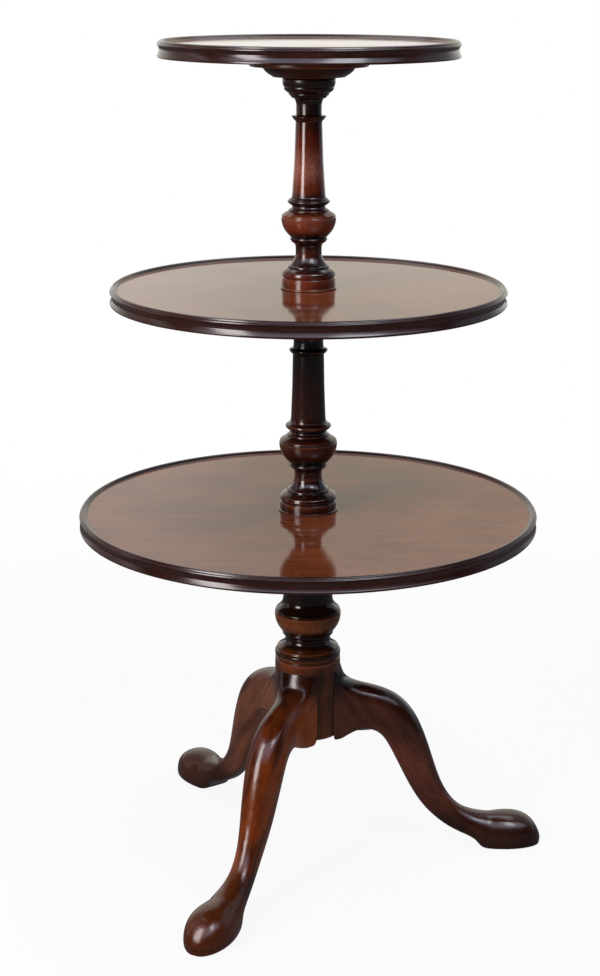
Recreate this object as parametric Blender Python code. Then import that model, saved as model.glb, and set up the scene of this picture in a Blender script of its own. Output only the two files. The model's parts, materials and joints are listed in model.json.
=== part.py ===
"""Three-tier dumbwaiter table.

Three dished round trays turn about one central pillar. The pillar is a base column and two
turned stems that screw into one another through the trays, and it stands on three carved
cabriole legs that are dovetailed into the column over an iron plate.

Metres, with Z up and the floor at zero. The origin is on the floor, in the middle of the box
round the whole table.
"""

import math

import bmesh
import bpy
from mathutils import Matrix, Vector

# Fits
GAP = 0.0003
MERGE = 0.00001

# Trays
TOP_TRAY_RADIUS = 0.192
MIDDLE_TRAY_RADIUS = 0.258
BOTTOM_TRAY_RADIUS = 0.305
TRAY_BOARD = 0.017
DISH_DEPTH = 0.004
RIM_WIDTH = 0.010

# Bearers under the trays
BEARER_RADIUS = 0.0763
BEARER_HEIGHT = 0.024
BEARER_SCREW_REACH = 0.0675

# Pillar
COLUMN_BOTTOM = 0.1825
COLUMN_TOP = 0.4574
COLUMN_RADIUS = 0.0446
COLUMN_TURNED_HEIGHT = 0.174
LOWER_STEM_HEIGHT = 0.2576
LOWER_STEM_RADIUS = 0.0397
UPPER_STEM_HEIGHT = 0.2696
UPPER_STEM_RADIUS = 0.0363
SPIGOT_RADIUS = 0.013
SOCKET_DEPTH = 0.030
SPIGOT_END_CLEARANCE = 0.002
STEM_SEAT_MARGIN = 0.002
STEM_SEAT_DEPTH = 0.0002

# Legs
LEG_REACH = 0.287
LEG_ROOT_TOP = 0.280
LEG_ROOT_BOTTOM = 0.1725
LEG_HALF_WIDTH = 0.028
FIRST_LEG_AZIMUTH = math.radians(4.6)
LEG_NAMES = ("leg_right", "leg_back", "leg_front")

# Dovetails between the legs and the column
TONGUE_DEPTH = 0.0186
TONGUE_HEIGHT = 0.072
TONGUE_HALF_WIDTH = 0.010
TONGUE_NECK_HALF_WIDTH = 0.007
TONGUE_BURIED = 0.004

# Iron plate under the column
PLATE_THICKNESS = 0.0025
PLATE_HUB_RADIUS = 0.031
PLATE_ARM_HALF_WIDTH = 0.009
PLATE_ARM_REACH = 0.086
PLATE_ARM_RISE = 0.0012
HUB_SCREW_REACH = 0.022
ARM_SCREW_REACH = 0.080

# Wood screws
SCREW_LENGTH = 0.020
SCREW_HEAD_RADIUS = 0.004
SLOT_HALF_WIDTH = 0.0005
SLOT_DEPTH = 0.0009

# Fineness of the round shapes
TRAY_SIDES = 44
TURNED_SIDES = 20
SCREW_SIDES = 8
ARC_STEPS = 3
SHARP_ANGLE = math.radians(32)

# Kinds of step down a turned outline
LINE = "straight"
DROP = "curve that leaves downwards and then runs in or out"
SPREAD = "curve that leaves sideways and then runs down"

# Outside of a tray's rim: inset from the edge as a share of the rim's width, and drop from the
# crest as a share of the rim's height
RIM_SHARES = (
    (0.83, 0.145),
    (0.70, 0.08),
    (0.57, 0.02),
    (0.40, 0.00),
    (0.22, 0.05),
    (0.16, 0.13),
    (0.04, 0.18),
    (0.00, 0.25),
    (0.12, 0.31),
    (0.26, 0.47),
    (0.27, 0.62),
    (0.14, 0.79),
    (0.02, 0.88),
    (0.02, 0.95),
    (0.12, 1.00),
)

# Turned outlines from the top down: kind of step, radius as a share of the piece's radius, and
# drop as a share of its height
BEARER_SHARES = (
    (LINE, 0.98, 0.00),
    (LINE, 1.00, 0.06),
    (LINE, 1.00, 0.40),
    (LINE, 0.98, 0.46),
    (LINE, 0.77, 0.46),
    (DROP, 0.62, 0.96),
    (LINE, 0.61, 1.00),
)
UPPER_STEM_SHARES = (
    (LINE, 0.907, 0.000),
    (LINE, 0.940, 0.011),
    (DROP, 0.773, 0.066),
    (LINE, 0.716, 0.074),
    (LINE, 0.705, 0.081),
    (LINE, 0.628, 0.085),
    (LINE, 0.617, 0.093),
    (LINE, 0.529, 0.097),
    (SPREAD, 0.452, 0.126),
    (LINE, 0.454, 0.174),
    (LINE, 0.482, 0.178),
    (LINE, 0.609, 0.181),
    (LINE, 0.609, 0.188),
    (LINE, 0.515, 0.194),
    (LINE, 0.463, 0.205),
    (LINE, 0.515, 0.387),
    (LINE, 0.601, 0.556),
    (SPREAD, 0.739, 0.583),
    (DROP, 0.622, 0.602),
    (LINE, 0.608, 0.610),
    (LINE, 0.672, 0.618),
    (LINE, 0.678, 0.625),
    (SPREAD, 0.970, 0.660),
    (LINE, 0.976, 0.667),
    (DROP, 0.694, 0.745),
    (LINE, 0.672, 0.750),
    (LINE, 0.703, 0.756),
    (LINE, 0.703, 0.766),
    (LINE, 0.589, 0.773),
    (SPREAD, 0.461, 0.812),
    (LINE, 0.466, 0.838),
    (DROP, 0.727, 0.898),
    (LINE, 0.774, 0.901),
    (LINE, 0.782, 0.907),
    (SPREAD, 0.964, 0.936),
    (LINE, 0.973, 0.943),
    (DROP, 0.925, 0.956),
    (LINE, 0.966, 0.962),
    (LINE, 0.966, 0.991),
    (LINE, 1.000, 0.994),
    (LINE, 1.000, 1.000),
)
LOWER_STEM_SHARES = (
    (LINE, 0.880, 0.000),
    (LINE, 0.914, 0.010),
    (DROP, 0.743, 0.059),
    (LINE, 0.688, 0.066),
    (LINE, 0.680, 0.072),
    (LINE, 0.612, 0.076),
    (LINE, 0.602, 0.084),
    (LINE, 0.529, 0.088),
    (SPREAD, 0.489, 0.112),
    (LINE, 0.501, 0.146),
    (LINE, 0.630, 0.151),
    (LINE, 0.630, 0.164),
    (LINE, 0.544, 0.168),
    (LINE, 0.506, 0.176),
    (LINE, 0.534, 0.349),
    (LINE, 0.577, 0.526),
    (SPREAD, 0.758, 0.554),
    (DROP, 0.589, 0.579),
    (LINE, 0.575, 0.587),
    (LINE, 0.660, 0.593),
    (LINE, 0.670, 0.599),
    (SPREAD, 0.960, 0.633),
    (LINE, 0.965, 0.641),
    (DROP, 0.670, 0.754),
    (LINE, 0.650, 0.759),
    (LINE, 0.668, 0.764),
    (LINE, 0.668, 0.773),
    (LINE, 0.569, 0.780),
    (SPREAD, 0.469, 0.803),
    (LINE, 0.476, 0.833),
    (DROP, 0.635, 0.894),
    (LINE, 0.688, 0.897),
    (LINE, 0.695, 0.903),
    (SPREAD, 0.947, 0.938),
    (LINE, 0.957, 0.951),
    (DROP, 0.922, 0.968),
    (LINE, 0.962, 0.974),
    (LINE, 0.962, 0.991),
    (LINE, 1.000, 0.994),
    (LINE, 1.000, 1.000),
)
COLUMN_SHARES = (
    (LINE, 0.92, 0.000),
    (LINE, 0.95, 0.017),
    (DROP, 0.785, 0.109),
    (LINE, 0.740, 0.121),
    (LINE, 0.731, 0.134),
    (LINE, 0.664, 0.141),
    (SPREAD, 0.637, 0.178),
    (LINE, 0.646, 0.216),
    (LINE, 0.762, 0.224),
    (LINE, 0.762, 0.244),
    (LINE, 0.682, 0.251),
    (LINE, 0.659, 0.264),
    (LINE, 0.742, 0.454),
    (DROP, 0.807, 0.523),
    (LINE, 0.843, 0.528),
    (SPREAD, 1.000, 0.572),
    (LINE, 1.002, 0.580),
    (LINE, 0.980, 0.586),
    (LINE, 1.009, 0.595),
    (DROP, 0.762, 0.763),
    (LINE, 0.735, 0.770),
    (LINE, 0.747, 0.779),
    (LINE, 0.742, 0.793),
    (LINE, 0.664, 0.802),
    (LINE, 0.641, 0.814),
    (LINE, 0.695, 0.822),
    (SPREAD, 0.996, 0.902),
    (LINE, 0.996, 0.923),
    (LINE, 0.978, 0.930),
    (SPREAD, 1.011, 0.960),
    (DROP, 0.978, 0.985),
    (LINE, 0.973, 0.993),
    (LINE, 1.000, 1.000),
)

# Stations along a leg from the column to the toe: reach and height of the upper line, reach and
# height of the lower line, half width, and how much of the section is the root's and the foot's.
# Reaches are shares of the leg's reach, upper heights of the root's top, lower heights of the
# root's bottom, and widths of the root's half width.
LEG_SHARES = (
    (-0.045, 1.004, -0.045, 1.000, 1.114, 1.00, 0.00),
    (-0.028, 1.004, -0.028, 1.000, 0.979, 1.00, 0.00),
    (-0.013, 1.002, -0.013, 1.000, 0.914, 1.00, 0.00),
    (0.001, 0.998, 0.001, 1.000, 0.886, 1.00, 0.00),
    (0.012, 0.950, 0.019, 1.000, 0.868, 0.85, 0.00),
    (0.029, 0.921, 0.033, 1.017, 0.854, 0.60, 0.00),
    (0.057, 0.903, 0.054, 1.035, 0.839, 0.35, 0.00),
    (0.095, 0.890, 0.075, 1.052, 0.829, 0.15, 0.00),
    (0.137, 0.880, 0.106, 1.063, 0.818, 0.00, 0.00),
    (0.183, 0.866, 0.144, 1.059, 0.821, 0.00, 0.00),
    (0.228, 0.848, 0.174, 1.041, 0.836, 0.00, 0.00),
    (0.266, 0.828, 0.197, 1.012, 0.850, 0.00, 0.00),
    (0.305, 0.798, 0.216, 0.974, 0.857, 0.00, 0.00),
    (0.339, 0.760, 0.231, 0.930, 0.857, 0.00, 0.00),
    (0.369, 0.716, 0.249, 0.875, 0.850, 0.00, 0.00),
    (0.393, 0.666, 0.267, 0.812, 0.832, 0.00, 0.00),
    (0.420, 0.598, 0.291, 0.728, 0.796, 0.00, 0.00),
    (0.447, 0.512, 0.317, 0.638, 0.750, 0.00, 0.00),
    (0.474, 0.423, 0.343, 0.551, 0.682, 0.00, 0.00),
    (0.496, 0.359, 0.372, 0.467, 0.621, 0.00, 0.00),
    (0.524, 0.300, 0.402, 0.391, 0.561, 0.00, 0.00),
    (0.555, 0.253, 0.440, 0.316, 0.546, 0.00, 0.00),
    (0.590, 0.216, 0.486, 0.243, 0.561, 0.00, 0.05),
    (0.629, 0.193, 0.534, 0.183, 0.604, 0.00, 0.10),
    (0.667, 0.179, 0.587, 0.135, 0.675, 0.00, 0.20),
    (0.702, 0.171, 0.639, 0.099, 0.757, 0.00, 0.35),
    (0.726, 0.167, 0.676, 0.058, 0.843, 0.00, 0.60),
    (0.744, 0.166, 0.695, 0.007, 0.893, 0.00, 0.90),
    (0.771, 0.167, 0.737, 0.000, 0.986, 0.00, 1.00),
    (0.810, 0.169, 0.789, 0.000, 1.093, 0.00, 1.00),
    (0.852, 0.167, 0.834, 0.000, 1.132, 0.00, 1.00),
    (0.890, 0.161, 0.879, 0.000, 1.096, 0.00, 1.00),
    (0.923, 0.148, 0.914, 0.000, 1.000, 0.00, 1.00),
    (0.949, 0.129, 0.942, 0.000, 0.879, 0.00, 1.00),
    (0.970, 0.104, 0.963, 0.000, 0.725, 0.00, 1.00),
    (0.986, 0.075, 0.980, 0.000, 0.543, 0.00, 1.00),
    (0.996, 0.046, 0.990, 0.000, 0.339, 0.00, 1.00),
    (1.000, 0.029, 0.995, 0.000, 0.143, 0.00, 1.00),
)

# Half of a leg's section, from its upper line to its lower line: half width and height
ROOT_SHARES = (
    (0.00, 1.00),
    (0.45, 1.00),
    (0.80, 0.985),
    (0.96, 0.95),
    (1.00, 0.85),
    (1.00, 0.35),
    (1.00, 0.05),
    (0.96, 0.00),
    (0.00, 0.00),
)
SHANK_SHARES = (
    (0.00, 1.00),
    (0.41, 0.97),
    (0.75, 0.89),
    (0.94, 0.73),
    (1.00, 0.51),
    (0.98, 0.28),
    (0.88, 0.09),
    (0.58, 0.00),
    (0.00, 0.00),
)
FOOT_SHARES = (
    (0.00, 1.00),
    (0.45, 0.96),
    (0.78, 0.81),
    (0.95, 0.56),
    (1.00, 0.32),
    (1.00, 0.14),
    (0.92, 0.00),
    (0.45, 0.00),
    (0.00, 0.00),
)

# A screw from its head up: radius as a share of the head's, and height as a share of the length
SCREW_SHARES = (
    (0.00, 0.00),
    (1.00, 0.00),
    (1.00, 0.02),
    (0.55, 0.12),
    (0.55, 0.80),
    (0.00, 1.00),
)

# Heights of the stack, each piece standing on the one below
BOTTOM_BEARER_FOOT = COLUMN_TOP + GAP
BOTTOM_TRAY_FOOT = BOTTOM_BEARER_FOOT + BEARER_HEIGHT + GAP
LOWER_STEM_FOOT = BOTTOM_TRAY_FOOT + TRAY_BOARD + GAP
MIDDLE_BEARER_FOOT = LOWER_STEM_FOOT + LOWER_STEM_HEIGHT + GAP
MIDDLE_TRAY_FOOT = MIDDLE_BEARER_FOOT + BEARER_HEIGHT + GAP
UPPER_STEM_FOOT = MIDDLE_TRAY_FOOT + TRAY_BOARD + GAP
TOP_BEARER_FOOT = UPPER_STEM_FOOT + UPPER_STEM_HEIGHT + GAP
TOP_TRAY_FOOT = TOP_BEARER_FOOT + BEARER_HEIGHT + GAP

# Lengths that follow from the fits
BORE_RADIUS = SPIGOT_RADIUS + GAP
LONG_SPIGOT = LOWER_STEM_FOOT - COLUMN_TOP + SOCKET_DEPTH - SPIGOT_END_CLEARANCE
TOP_SPIGOT = GAP + BEARER_HEIGHT - SPIGOT_END_CLEARANCE
THIRD_TURN = 2 * math.pi / len(LEG_NAMES)

# Colours, roughness and metallic values
MAHOGANY = ((0.150, 0.052, 0.032, 1.0), 0.25, 0.0)
WARM_MAHOGANY = ((0.230, 0.075, 0.036, 1.0), 0.25, 0.0)
DARK_MAHOGANY = ((0.085, 0.030, 0.020, 1.0), 0.30, 0.0)
IRON = ((0.060, 0.058, 0.060, 1.0), 0.65, 0.9)
STEEL = ((0.350, 0.340, 0.320, 1.0), 0.40, 1.0)


def clear_scene():
    """Remove every object that the file opened with."""
    for obj in list(bpy.data.objects):
        bpy.data.objects.remove(obj, do_unlink=True)


def finish_of(name, look):
    """Make a material with a colour, a roughness and a metallic value."""
    colour, roughness, metallic = look
    made = bpy.data.materials.new(name)
    made.use_nodes = True
    shader = made.node_tree.nodes["Principled BSDF"]
    shader.inputs["Base Color"].default_value = colour
    shader.inputs["Roughness"].default_value = roughness
    shader.inputs["Metallic"].default_value = metallic
    made.diffuse_color = colour
    return made


def object_from(name, bm, look):
    """Make an object from a bmesh with outward normals and smooth shading."""
    bmesh.ops.recalc_face_normals(bm, faces=bm.faces)
    mesh = bpy.data.meshes.new(name)
    bm.to_mesh(mesh)
    bm.free()
    mesh.shade_smooth()
    mesh.set_sharp_from_angle(angle=SHARP_ANGLE)
    obj = bpy.data.objects.new(name, mesh)
    bpy.context.scene.collection.objects.link(obj)
    if look:
        mesh.materials.append(finish_of(name, look))
    else:
        obj.hide_render = True
        obj.display_type = "WIRE"
    return obj


def turned(name, outline, sides, look, closed=False):
    """Spin an outline of (radius, height) points about the Z axis into a solid.

    An open outline starts and ends on the axis. A closed one goes round a bore.
    """
    bm = bmesh.new()
    verts = [bm.verts.new((radius, 0, height)) for radius, height in outline]
    for first, second in zip(verts, verts[1:]):
        bm.edges.new((first, second))
    if closed:
        bm.edges.new((verts[-1], verts[0]))
    bmesh.ops.spin(
        bm,
        geom=bm.verts[:] + bm.edges[:],
        axis=(0, 0, 1),
        cent=(0, 0, 0),
        angle=2 * math.pi,
        steps=sides,
        use_merge=True,
    )
    bmesh.ops.remove_doubles(bm, verts=bm.verts, dist=MERGE)
    return object_from(name, bm, look)


def outline_down(shares, radius, height, top):
    """Work out the (radius, height) points of a turned outline, from its top down."""
    points = []
    for kind, radius_share, drop_share in shares:
        end = (radius_share * radius, top - drop_share * height)
        if kind == LINE:
            points.append(end)
            continue
        start = points[-1]
        for step in range(1, ARC_STEPS + 1):
            along = step / ARC_STEPS
            across = along**2 if kind == DROP else 1 - (1 - along) ** 2
            points.append(
                (
                    start[0] + (end[0] - start[0]) * across,
                    start[1] + (end[1] - start[1]) * along,
                )
            )
    return points


def cut(obj, cutter, operation="DIFFERENCE"):
    """Add a Boolean with the cutter to an object."""
    modifier = obj.modifiers.new(cutter.name, "BOOLEAN")
    modifier.operation = operation
    modifier.solver = "EXACT"
    modifier.object = cutter


def place(obj, height, azimuth=0.0, reach=0.0, facing=0.0):
    """Put an object at a height and at a reach from the axis, turned to face an azimuth."""
    obj.location = (reach * math.cos(azimuth), reach * math.sin(azimuth), height)
    obj.rotation_euler = (0, 0, facing)
    return obj


def make_tray(name, radius, foot, stem_radius):
    """Make a dished tray whose underside is at the foot height.

    A tray that carries a stem is bored, and has a shallow seat turned in its top for the stem.
    """
    height = TRAY_BOARD + DISH_DEPTH
    if stem_radius:
        middle = BORE_RADIUS
        seat = stem_radius + STEM_SEAT_MARGIN
        sunk = TRAY_BOARD - STEM_SEAT_DEPTH
        outline = [(middle, sunk), (seat, sunk), (seat, TRAY_BOARD)]
    else:
        middle = 0
        outline = [(middle, TRAY_BOARD)]
    outline.append((radius - RIM_WIDTH, TRAY_BOARD))
    for inset_share, drop_share in RIM_SHARES:
        outline.append((radius - inset_share * RIM_WIDTH, height - drop_share * height))
    outline.append((middle, 0))
    return place(turned(name, outline, TRAY_SIDES, MAHOGANY, closed=bool(stem_radius)), foot)


def make_bearer(name, foot):
    """Make the turned boss that carries a tray, bored for the stem's spigot."""
    outline = outline_down(BEARER_SHARES, BEARER_RADIUS, BEARER_HEIGHT, BEARER_HEIGHT)
    outline += [(BORE_RADIUS, 0), (BORE_RADIUS, BEARER_HEIGHT)]
    return place(turned(name, outline, TURNED_SIDES, DARK_MAHOGANY, closed=True), foot)


def screw_outline(clearance):
    """Work out a screw's outline, grown all round by a clearance."""
    points = []
    for radius_share, height_share in SCREW_SHARES:
        radius = radius_share * SCREW_HEAD_RADIUS
        height = height_share * SCREW_LENGTH
        points.append(
            (
                radius + clearance if radius_share else 0,
                height + clearance if height_share else height - clearance,
            )
        )
    return points


def make_screw(name, height, azimuth, reach, holed):
    """Make a slotted screw with its head down, and its hole in each piece that it enters."""
    screw = turned(name, screw_outline(0), SCREW_SIDES, STEEL)
    bm = bmesh.new()
    bmesh.ops.create_cube(bm, size=2)
    size = Vector((SCREW_HEAD_RADIUS + GAP, SLOT_HALF_WIDTH, SLOT_DEPTH))
    bmesh.ops.scale(bm, vec=size, verts=bm.verts)
    slot = object_from(f"{name}_slot", bm, None)
    cut(place(screw, height, azimuth, reach, azimuth), place(slot, height, azimuth, reach, azimuth))
    hole = turned(f"{name}_hole", screw_outline(GAP), SCREW_SIDES, None)
    place(hole, height, azimuth, reach, azimuth)
    for obj in holed:
        cut(obj, hole)


def fit_tray(name, radius, bearer_foot, stem_radius):
    """Make a tray, its bearer and the four screws between them."""
    tray = make_tray(f"{name}_tray", radius, bearer_foot + BEARER_HEIGHT + GAP, stem_radius)
    bearer = make_bearer(f"{name}_bearer", bearer_foot)
    ledge = max(drop for _, share, drop in BEARER_SHARES if share > BEARER_SCREW_REACH / BEARER_RADIUS)
    height = bearer_foot + BEARER_HEIGHT * (1 - ledge)
    for number in range(4):
        azimuth = (number + 0.5) * math.pi / 2
        screw_name = f"{name}_bearer_screw_{number + 1}"
        make_screw(screw_name, height, azimuth, BEARER_SCREW_REACH, (bearer, tray))


def make_stem(name, shares, radius, height, foot, top_socketed):
    """Make a turned stem with its lower spigot, and a socket or a spigot at its top."""
    if top_socketed:
        outline = [(0, height - SOCKET_DEPTH), (BORE_RADIUS, height - SOCKET_DEPTH), (BORE_RADIUS, height)]
    else:
        outline = [(0, height + TOP_SPIGOT), (SPIGOT_RADIUS, height + TOP_SPIGOT), (SPIGOT_RADIUS, height)]
    outline += outline_down(shares, radius, height, height)
    outline += [(SPIGOT_RADIUS, 0), (SPIGOT_RADIUS, -LONG_SPIGOT), (0, -LONG_SPIGOT)]
    return place(turned(name, outline, TURNED_SIDES, WARM_MAHOGANY), foot)


def make_column():
    """Make the base column: turned above, plain below, with a socket in its top."""
    height = COLUMN_TOP - COLUMN_BOTTOM
    outline = [(0, height - SOCKET_DEPTH), (BORE_RADIUS, height - SOCKET_DEPTH), (BORE_RADIUS, height)]
    outline += outline_down(COLUMN_SHARES, COLUMN_RADIUS, COLUMN_TURNED_HEIGHT, height)
    outline += [(COLUMN_RADIUS, 0), (0, 0)]
    return place(turned("base_column", outline, TURNED_SIDES, WARM_MAHOGANY), COLUMN_BOTTOM)


def make_tongue(name, clearance, azimuth):
    """Make a dovetail tongue, or with a clearance the cutter for its slot."""
    inner = COLUMN_RADIUS - TONGUE_DEPTH - clearance
    outer = COLUMN_RADIUS + TONGUE_BURIED
    slope = (TONGUE_HALF_WIDTH - TONGUE_NECK_HALF_WIDTH) / TONGUE_DEPTH
    inner_half = TONGUE_HALF_WIDTH + slope * clearance + clearance
    outer_half = TONGUE_NECK_HALF_WIDTH - slope * TONGUE_BURIED + clearance
    bm = bmesh.new()
    corners = ((inner, -inner_half), (outer, -outer_half), (outer, outer_half), (inner, inner_half))
    foot = -clearance
    floor = bm.faces.new([bm.verts.new((x, y, foot)) for x, y in corners])
    raised = bmesh.ops.extrude_face_region(bm, geom=[floor])
    top = [item for item in raised["geom"] if isinstance(item, bmesh.types.BMVert)]
    rise = TONGUE_HEIGHT + clearance - foot
    bmesh.ops.translate(bm, vec=(0, 0, rise), verts=top)
    return place(object_from(name, bm, None), COLUMN_BOTTOM, facing=azimuth)


def leg_ring(station):
    """Work out the closed ring of points round a leg at one station, for a leg along +X."""
    upper_reach, upper_height, lower_reach, lower_height, width, root, foot = station
    upper = Vector((COLUMN_RADIUS + upper_reach * LEG_REACH, 0, upper_height * LEG_ROOT_TOP))
    lower = Vector((COLUMN_RADIUS + lower_reach * LEG_REACH, 0, lower_height * LEG_ROOT_BOTTOM))
    half = width * LEG_HALF_WIDTH
    side = []
    for shank, seat, pad in zip(SHANK_SHARES, ROOT_SHARES, FOOT_SHARES):
        across = shank[0] * (1 - root - foot) + seat[0] * root + pad[0] * foot
        up = shank[1] * (1 - root - foot) + seat[1] * root + pad[1] * foot
        side.append(lower.lerp(upper, up) + Vector((0, across * half, 0)))
    mirrored = [Vector((point.x, -point.y, point.z)) for point in side[-2:0:-1]]
    return side + mirrored


def make_leg(name, azimuth):
    """Make a cabriole leg with a pad foot and a dovetail tongue at its root."""
    bm = bmesh.new()
    rings = [[bm.verts.new(point) for point in leg_ring(station)] for station in LEG_SHARES]
    for near, far in zip(rings, rings[1:]):
        for index in range(len(near)):
            bm.faces.new((near[index - 1], near[index], far[index], far[index - 1]))
    bm.faces.new(rings[0])
    bm.faces.new(rings[-1])
    leg = place(object_from(name, bm, MAHOGANY), 0, facing=azimuth)
    seat_outline = [(0, LEG_ROOT_TOP + COLUMN_RADIUS), (COLUMN_RADIUS + GAP, LEG_ROOT_TOP + COLUMN_RADIUS)]
    seat_outline += [(COLUMN_RADIUS + GAP, 0), (0, 0)]
    seat = turned(f"{name}_seat", seat_outline, TURNED_SIDES, None)
    cut(leg, seat)
    cut(leg, make_tongue(f"{name}_tongue", 0, azimuth), "UNION")
    cut(leg, make_housing(f"{name}_housing", azimuth))
    return leg


def plate_path(clearance):
    """Work out the (reach, height) points along the top of a plate's arm, raised by a clearance."""
    height = COLUMN_BOTTOM - GAP + clearance
    return (
        (PLATE_HUB_RADIUS, height),
        (COLUMN_RADIUS, height),
        (PLATE_ARM_REACH, height + PLATE_ARM_RISE),
    )


def make_plate():
    """Make the three-armed iron plate that ties the legs' roots to the column."""
    bm = bmesh.new()
    hub = []
    arms = []
    for number in range(len(LEG_NAMES)):
        azimuth = FIRST_LEG_AZIMUTH + number * THIRD_TURN
        turn = Matrix.Rotation(azimuth, 3, "Z")
        right = [bm.verts.new(turn @ Vector((x, -PLATE_ARM_HALF_WIDTH, z))) for x, z in plate_path(0)]
        left = [bm.verts.new(turn @ Vector((x, PLATE_ARM_HALF_WIDTH, z))) for x, z in plate_path(0)]
        between = azimuth + THIRD_TURN / 2
        corner = (PLATE_HUB_RADIUS * math.cos(between), PLATE_HUB_RADIUS * math.sin(between))
        hub += [right[0], left[0], bm.verts.new((*corner, COLUMN_BOTTOM - GAP))]
        arms += zip(right, right[1:], left[1:], left)
    bm.faces.new(hub)
    for corners in arms:
        bm.faces.new(corners)
    lowered = bmesh.ops.extrude_face_region(bm, geom=bm.faces[:])
    below = [item for item in lowered["geom"] if isinstance(item, bmesh.types.BMVert)]
    bmesh.ops.translate(bm, vec=(0, 0, -PLATE_THICKNESS), verts=below)
    return object_from("spider_plate", bm, IRON)


def make_housing(name, azimuth):
    """Make the cutter for the channel that lets a plate's arm into a leg's root."""
    half = PLATE_ARM_HALF_WIDTH + GAP
    bm = bmesh.new()
    side = [bm.verts.new((x, -half, z)) for x, z in plate_path(GAP)]
    side.append(bm.verts.new((PLATE_ARM_REACH, -half, 0)))
    side.append(bm.verts.new((PLATE_HUB_RADIUS, -half, 0)))
    wall = bm.faces.new(side)
    pulled = bmesh.ops.extrude_face_region(bm, geom=[wall])
    far = [item for item in pulled["geom"] if isinstance(item, bmesh.types.BMVert)]
    bmesh.ops.translate(bm, vec=(0, 2 * half, 0), verts=far)
    return place(object_from(name, bm, None), 0, facing=azimuth)


def height_on_arm(reach):
    """Find the height of the top of a plate's arm at a reach from the axis."""
    _, (near, low), (far, high) = plate_path(0)
    return low + (high - low) * (reach - near) / (far - near)


def make_base():
    """Make the column, its legs, and the plate and screws under them."""
    column = make_column()
    plate = make_plate()
    for number, name in enumerate(LEG_NAMES):
        azimuth = FIRST_LEG_AZIMUTH + number * THIRD_TURN
        leg = make_leg(name, azimuth)
        cut(column, make_tongue(f"{name}_slot", GAP, azimuth))
        under_leg = height_on_arm(ARM_SCREW_REACH) - PLATE_THICKNESS
        make_screw(f"plate_leg_screw_{number + 1}", under_leg, azimuth, ARM_SCREW_REACH, (plate, leg))
        under_column = COLUMN_BOTTOM - GAP - PLATE_THICKNESS
        between = azimuth + THIRD_TURN / 2
        screw_name = f"plate_column_screw_{number + 1}"
        make_screw(screw_name, under_column, between, HUB_SCREW_REACH, (plate, column))


def centre_on_box():
    """Move everything so that the origin is in the middle of the box round the table."""
    bpy.context.view_layer.update()
    graph = bpy.context.evaluated_depsgraph_get()
    corners = []
    for obj in bpy.data.objects:
        if not obj.hide_render:
            solid = obj.evaluated_get(graph)
            corners += [solid.matrix_world @ vert.co for vert in solid.data.vertices]
    middle = Vector(
        (
            (min(point.x for point in corners) + max(point.x for point in corners)) / 2,
            (min(point.y for point in corners) + max(point.y for point in corners)) / 2,
            0,
        )
    )
    for obj in bpy.data.objects:
        obj.location -= middle


clear_scene()
make_base()
fit_tray("bottom", BOTTOM_TRAY_RADIUS, BOTTOM_BEARER_FOOT, LOWER_STEM_RADIUS)
make_stem("lower_stem", LOWER_STEM_SHARES, LOWER_STEM_RADIUS, LOWER_STEM_HEIGHT, LOWER_STEM_FOOT, True)
fit_tray("middle", MIDDLE_TRAY_RADIUS, MIDDLE_BEARER_FOOT, UPPER_STEM_RADIUS)
make_stem("upper_stem", UPPER_STEM_SHARES, UPPER_STEM_RADIUS, UPPER_STEM_HEIGHT, UPPER_STEM_FOOT, False)
fit_tray("top", TOP_TRAY_RADIUS, TOP_BEARER_FOOT, 0)
centre_on_box()
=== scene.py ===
"""Looks of a three-tier dumbwaiter table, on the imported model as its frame.

Turned trays, bearers, stems and column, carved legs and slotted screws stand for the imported
solids. Each is French-polished mahogany, steel or iron, under plain soft studio light.

Metres, with Z up and the floor at zero.
"""

import json
import logging
import math
from dataclasses import dataclass, replace
from enum import Enum
from typing import Any, Sequence, Union

import bmesh
import bpy
import numpy as np
from mathutils import Matrix, Vector

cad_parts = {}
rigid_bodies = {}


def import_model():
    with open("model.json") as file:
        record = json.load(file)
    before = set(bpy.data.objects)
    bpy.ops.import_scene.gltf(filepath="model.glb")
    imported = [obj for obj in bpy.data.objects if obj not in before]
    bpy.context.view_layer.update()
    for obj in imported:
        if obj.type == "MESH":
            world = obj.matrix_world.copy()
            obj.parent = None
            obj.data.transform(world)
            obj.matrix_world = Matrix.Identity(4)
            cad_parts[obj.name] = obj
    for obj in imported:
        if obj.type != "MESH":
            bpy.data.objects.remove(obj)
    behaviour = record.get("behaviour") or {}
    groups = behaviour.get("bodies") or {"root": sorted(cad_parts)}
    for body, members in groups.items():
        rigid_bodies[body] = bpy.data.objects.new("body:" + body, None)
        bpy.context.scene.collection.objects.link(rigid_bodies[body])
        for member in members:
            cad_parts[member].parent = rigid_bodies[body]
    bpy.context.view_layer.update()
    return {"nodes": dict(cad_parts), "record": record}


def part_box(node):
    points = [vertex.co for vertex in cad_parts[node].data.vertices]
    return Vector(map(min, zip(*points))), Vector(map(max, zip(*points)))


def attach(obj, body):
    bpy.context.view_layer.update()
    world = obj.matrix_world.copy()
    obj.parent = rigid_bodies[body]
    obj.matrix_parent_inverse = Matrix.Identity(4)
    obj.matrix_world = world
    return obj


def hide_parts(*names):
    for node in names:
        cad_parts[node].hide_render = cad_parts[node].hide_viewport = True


# Shared sizes
MERGE = 0.000002
CLEARANCE = 0.0003
COLUMN_RADIUS = 0.0446
BORE = 0.0133
PLATE_EDGE = 0.0004

# Where the first leg stands and the turn from each leg to the next, in degrees
FIRST_LEG = 4.6
LEG_TURN = 120

# What a look out from an outline starts with: the least length, the least cross of two ways, the
# step off its own edge and the nearest hit that counts
TINY = 1e-9
PARALLEL = 1e-12
OFF_EDGE = 1e-5
FIRST_HIT = 2e-5

Point = tuple[float, float]
Colour = tuple[float, float, float, float]
Socket = bpy.types.NodeSocket


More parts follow.
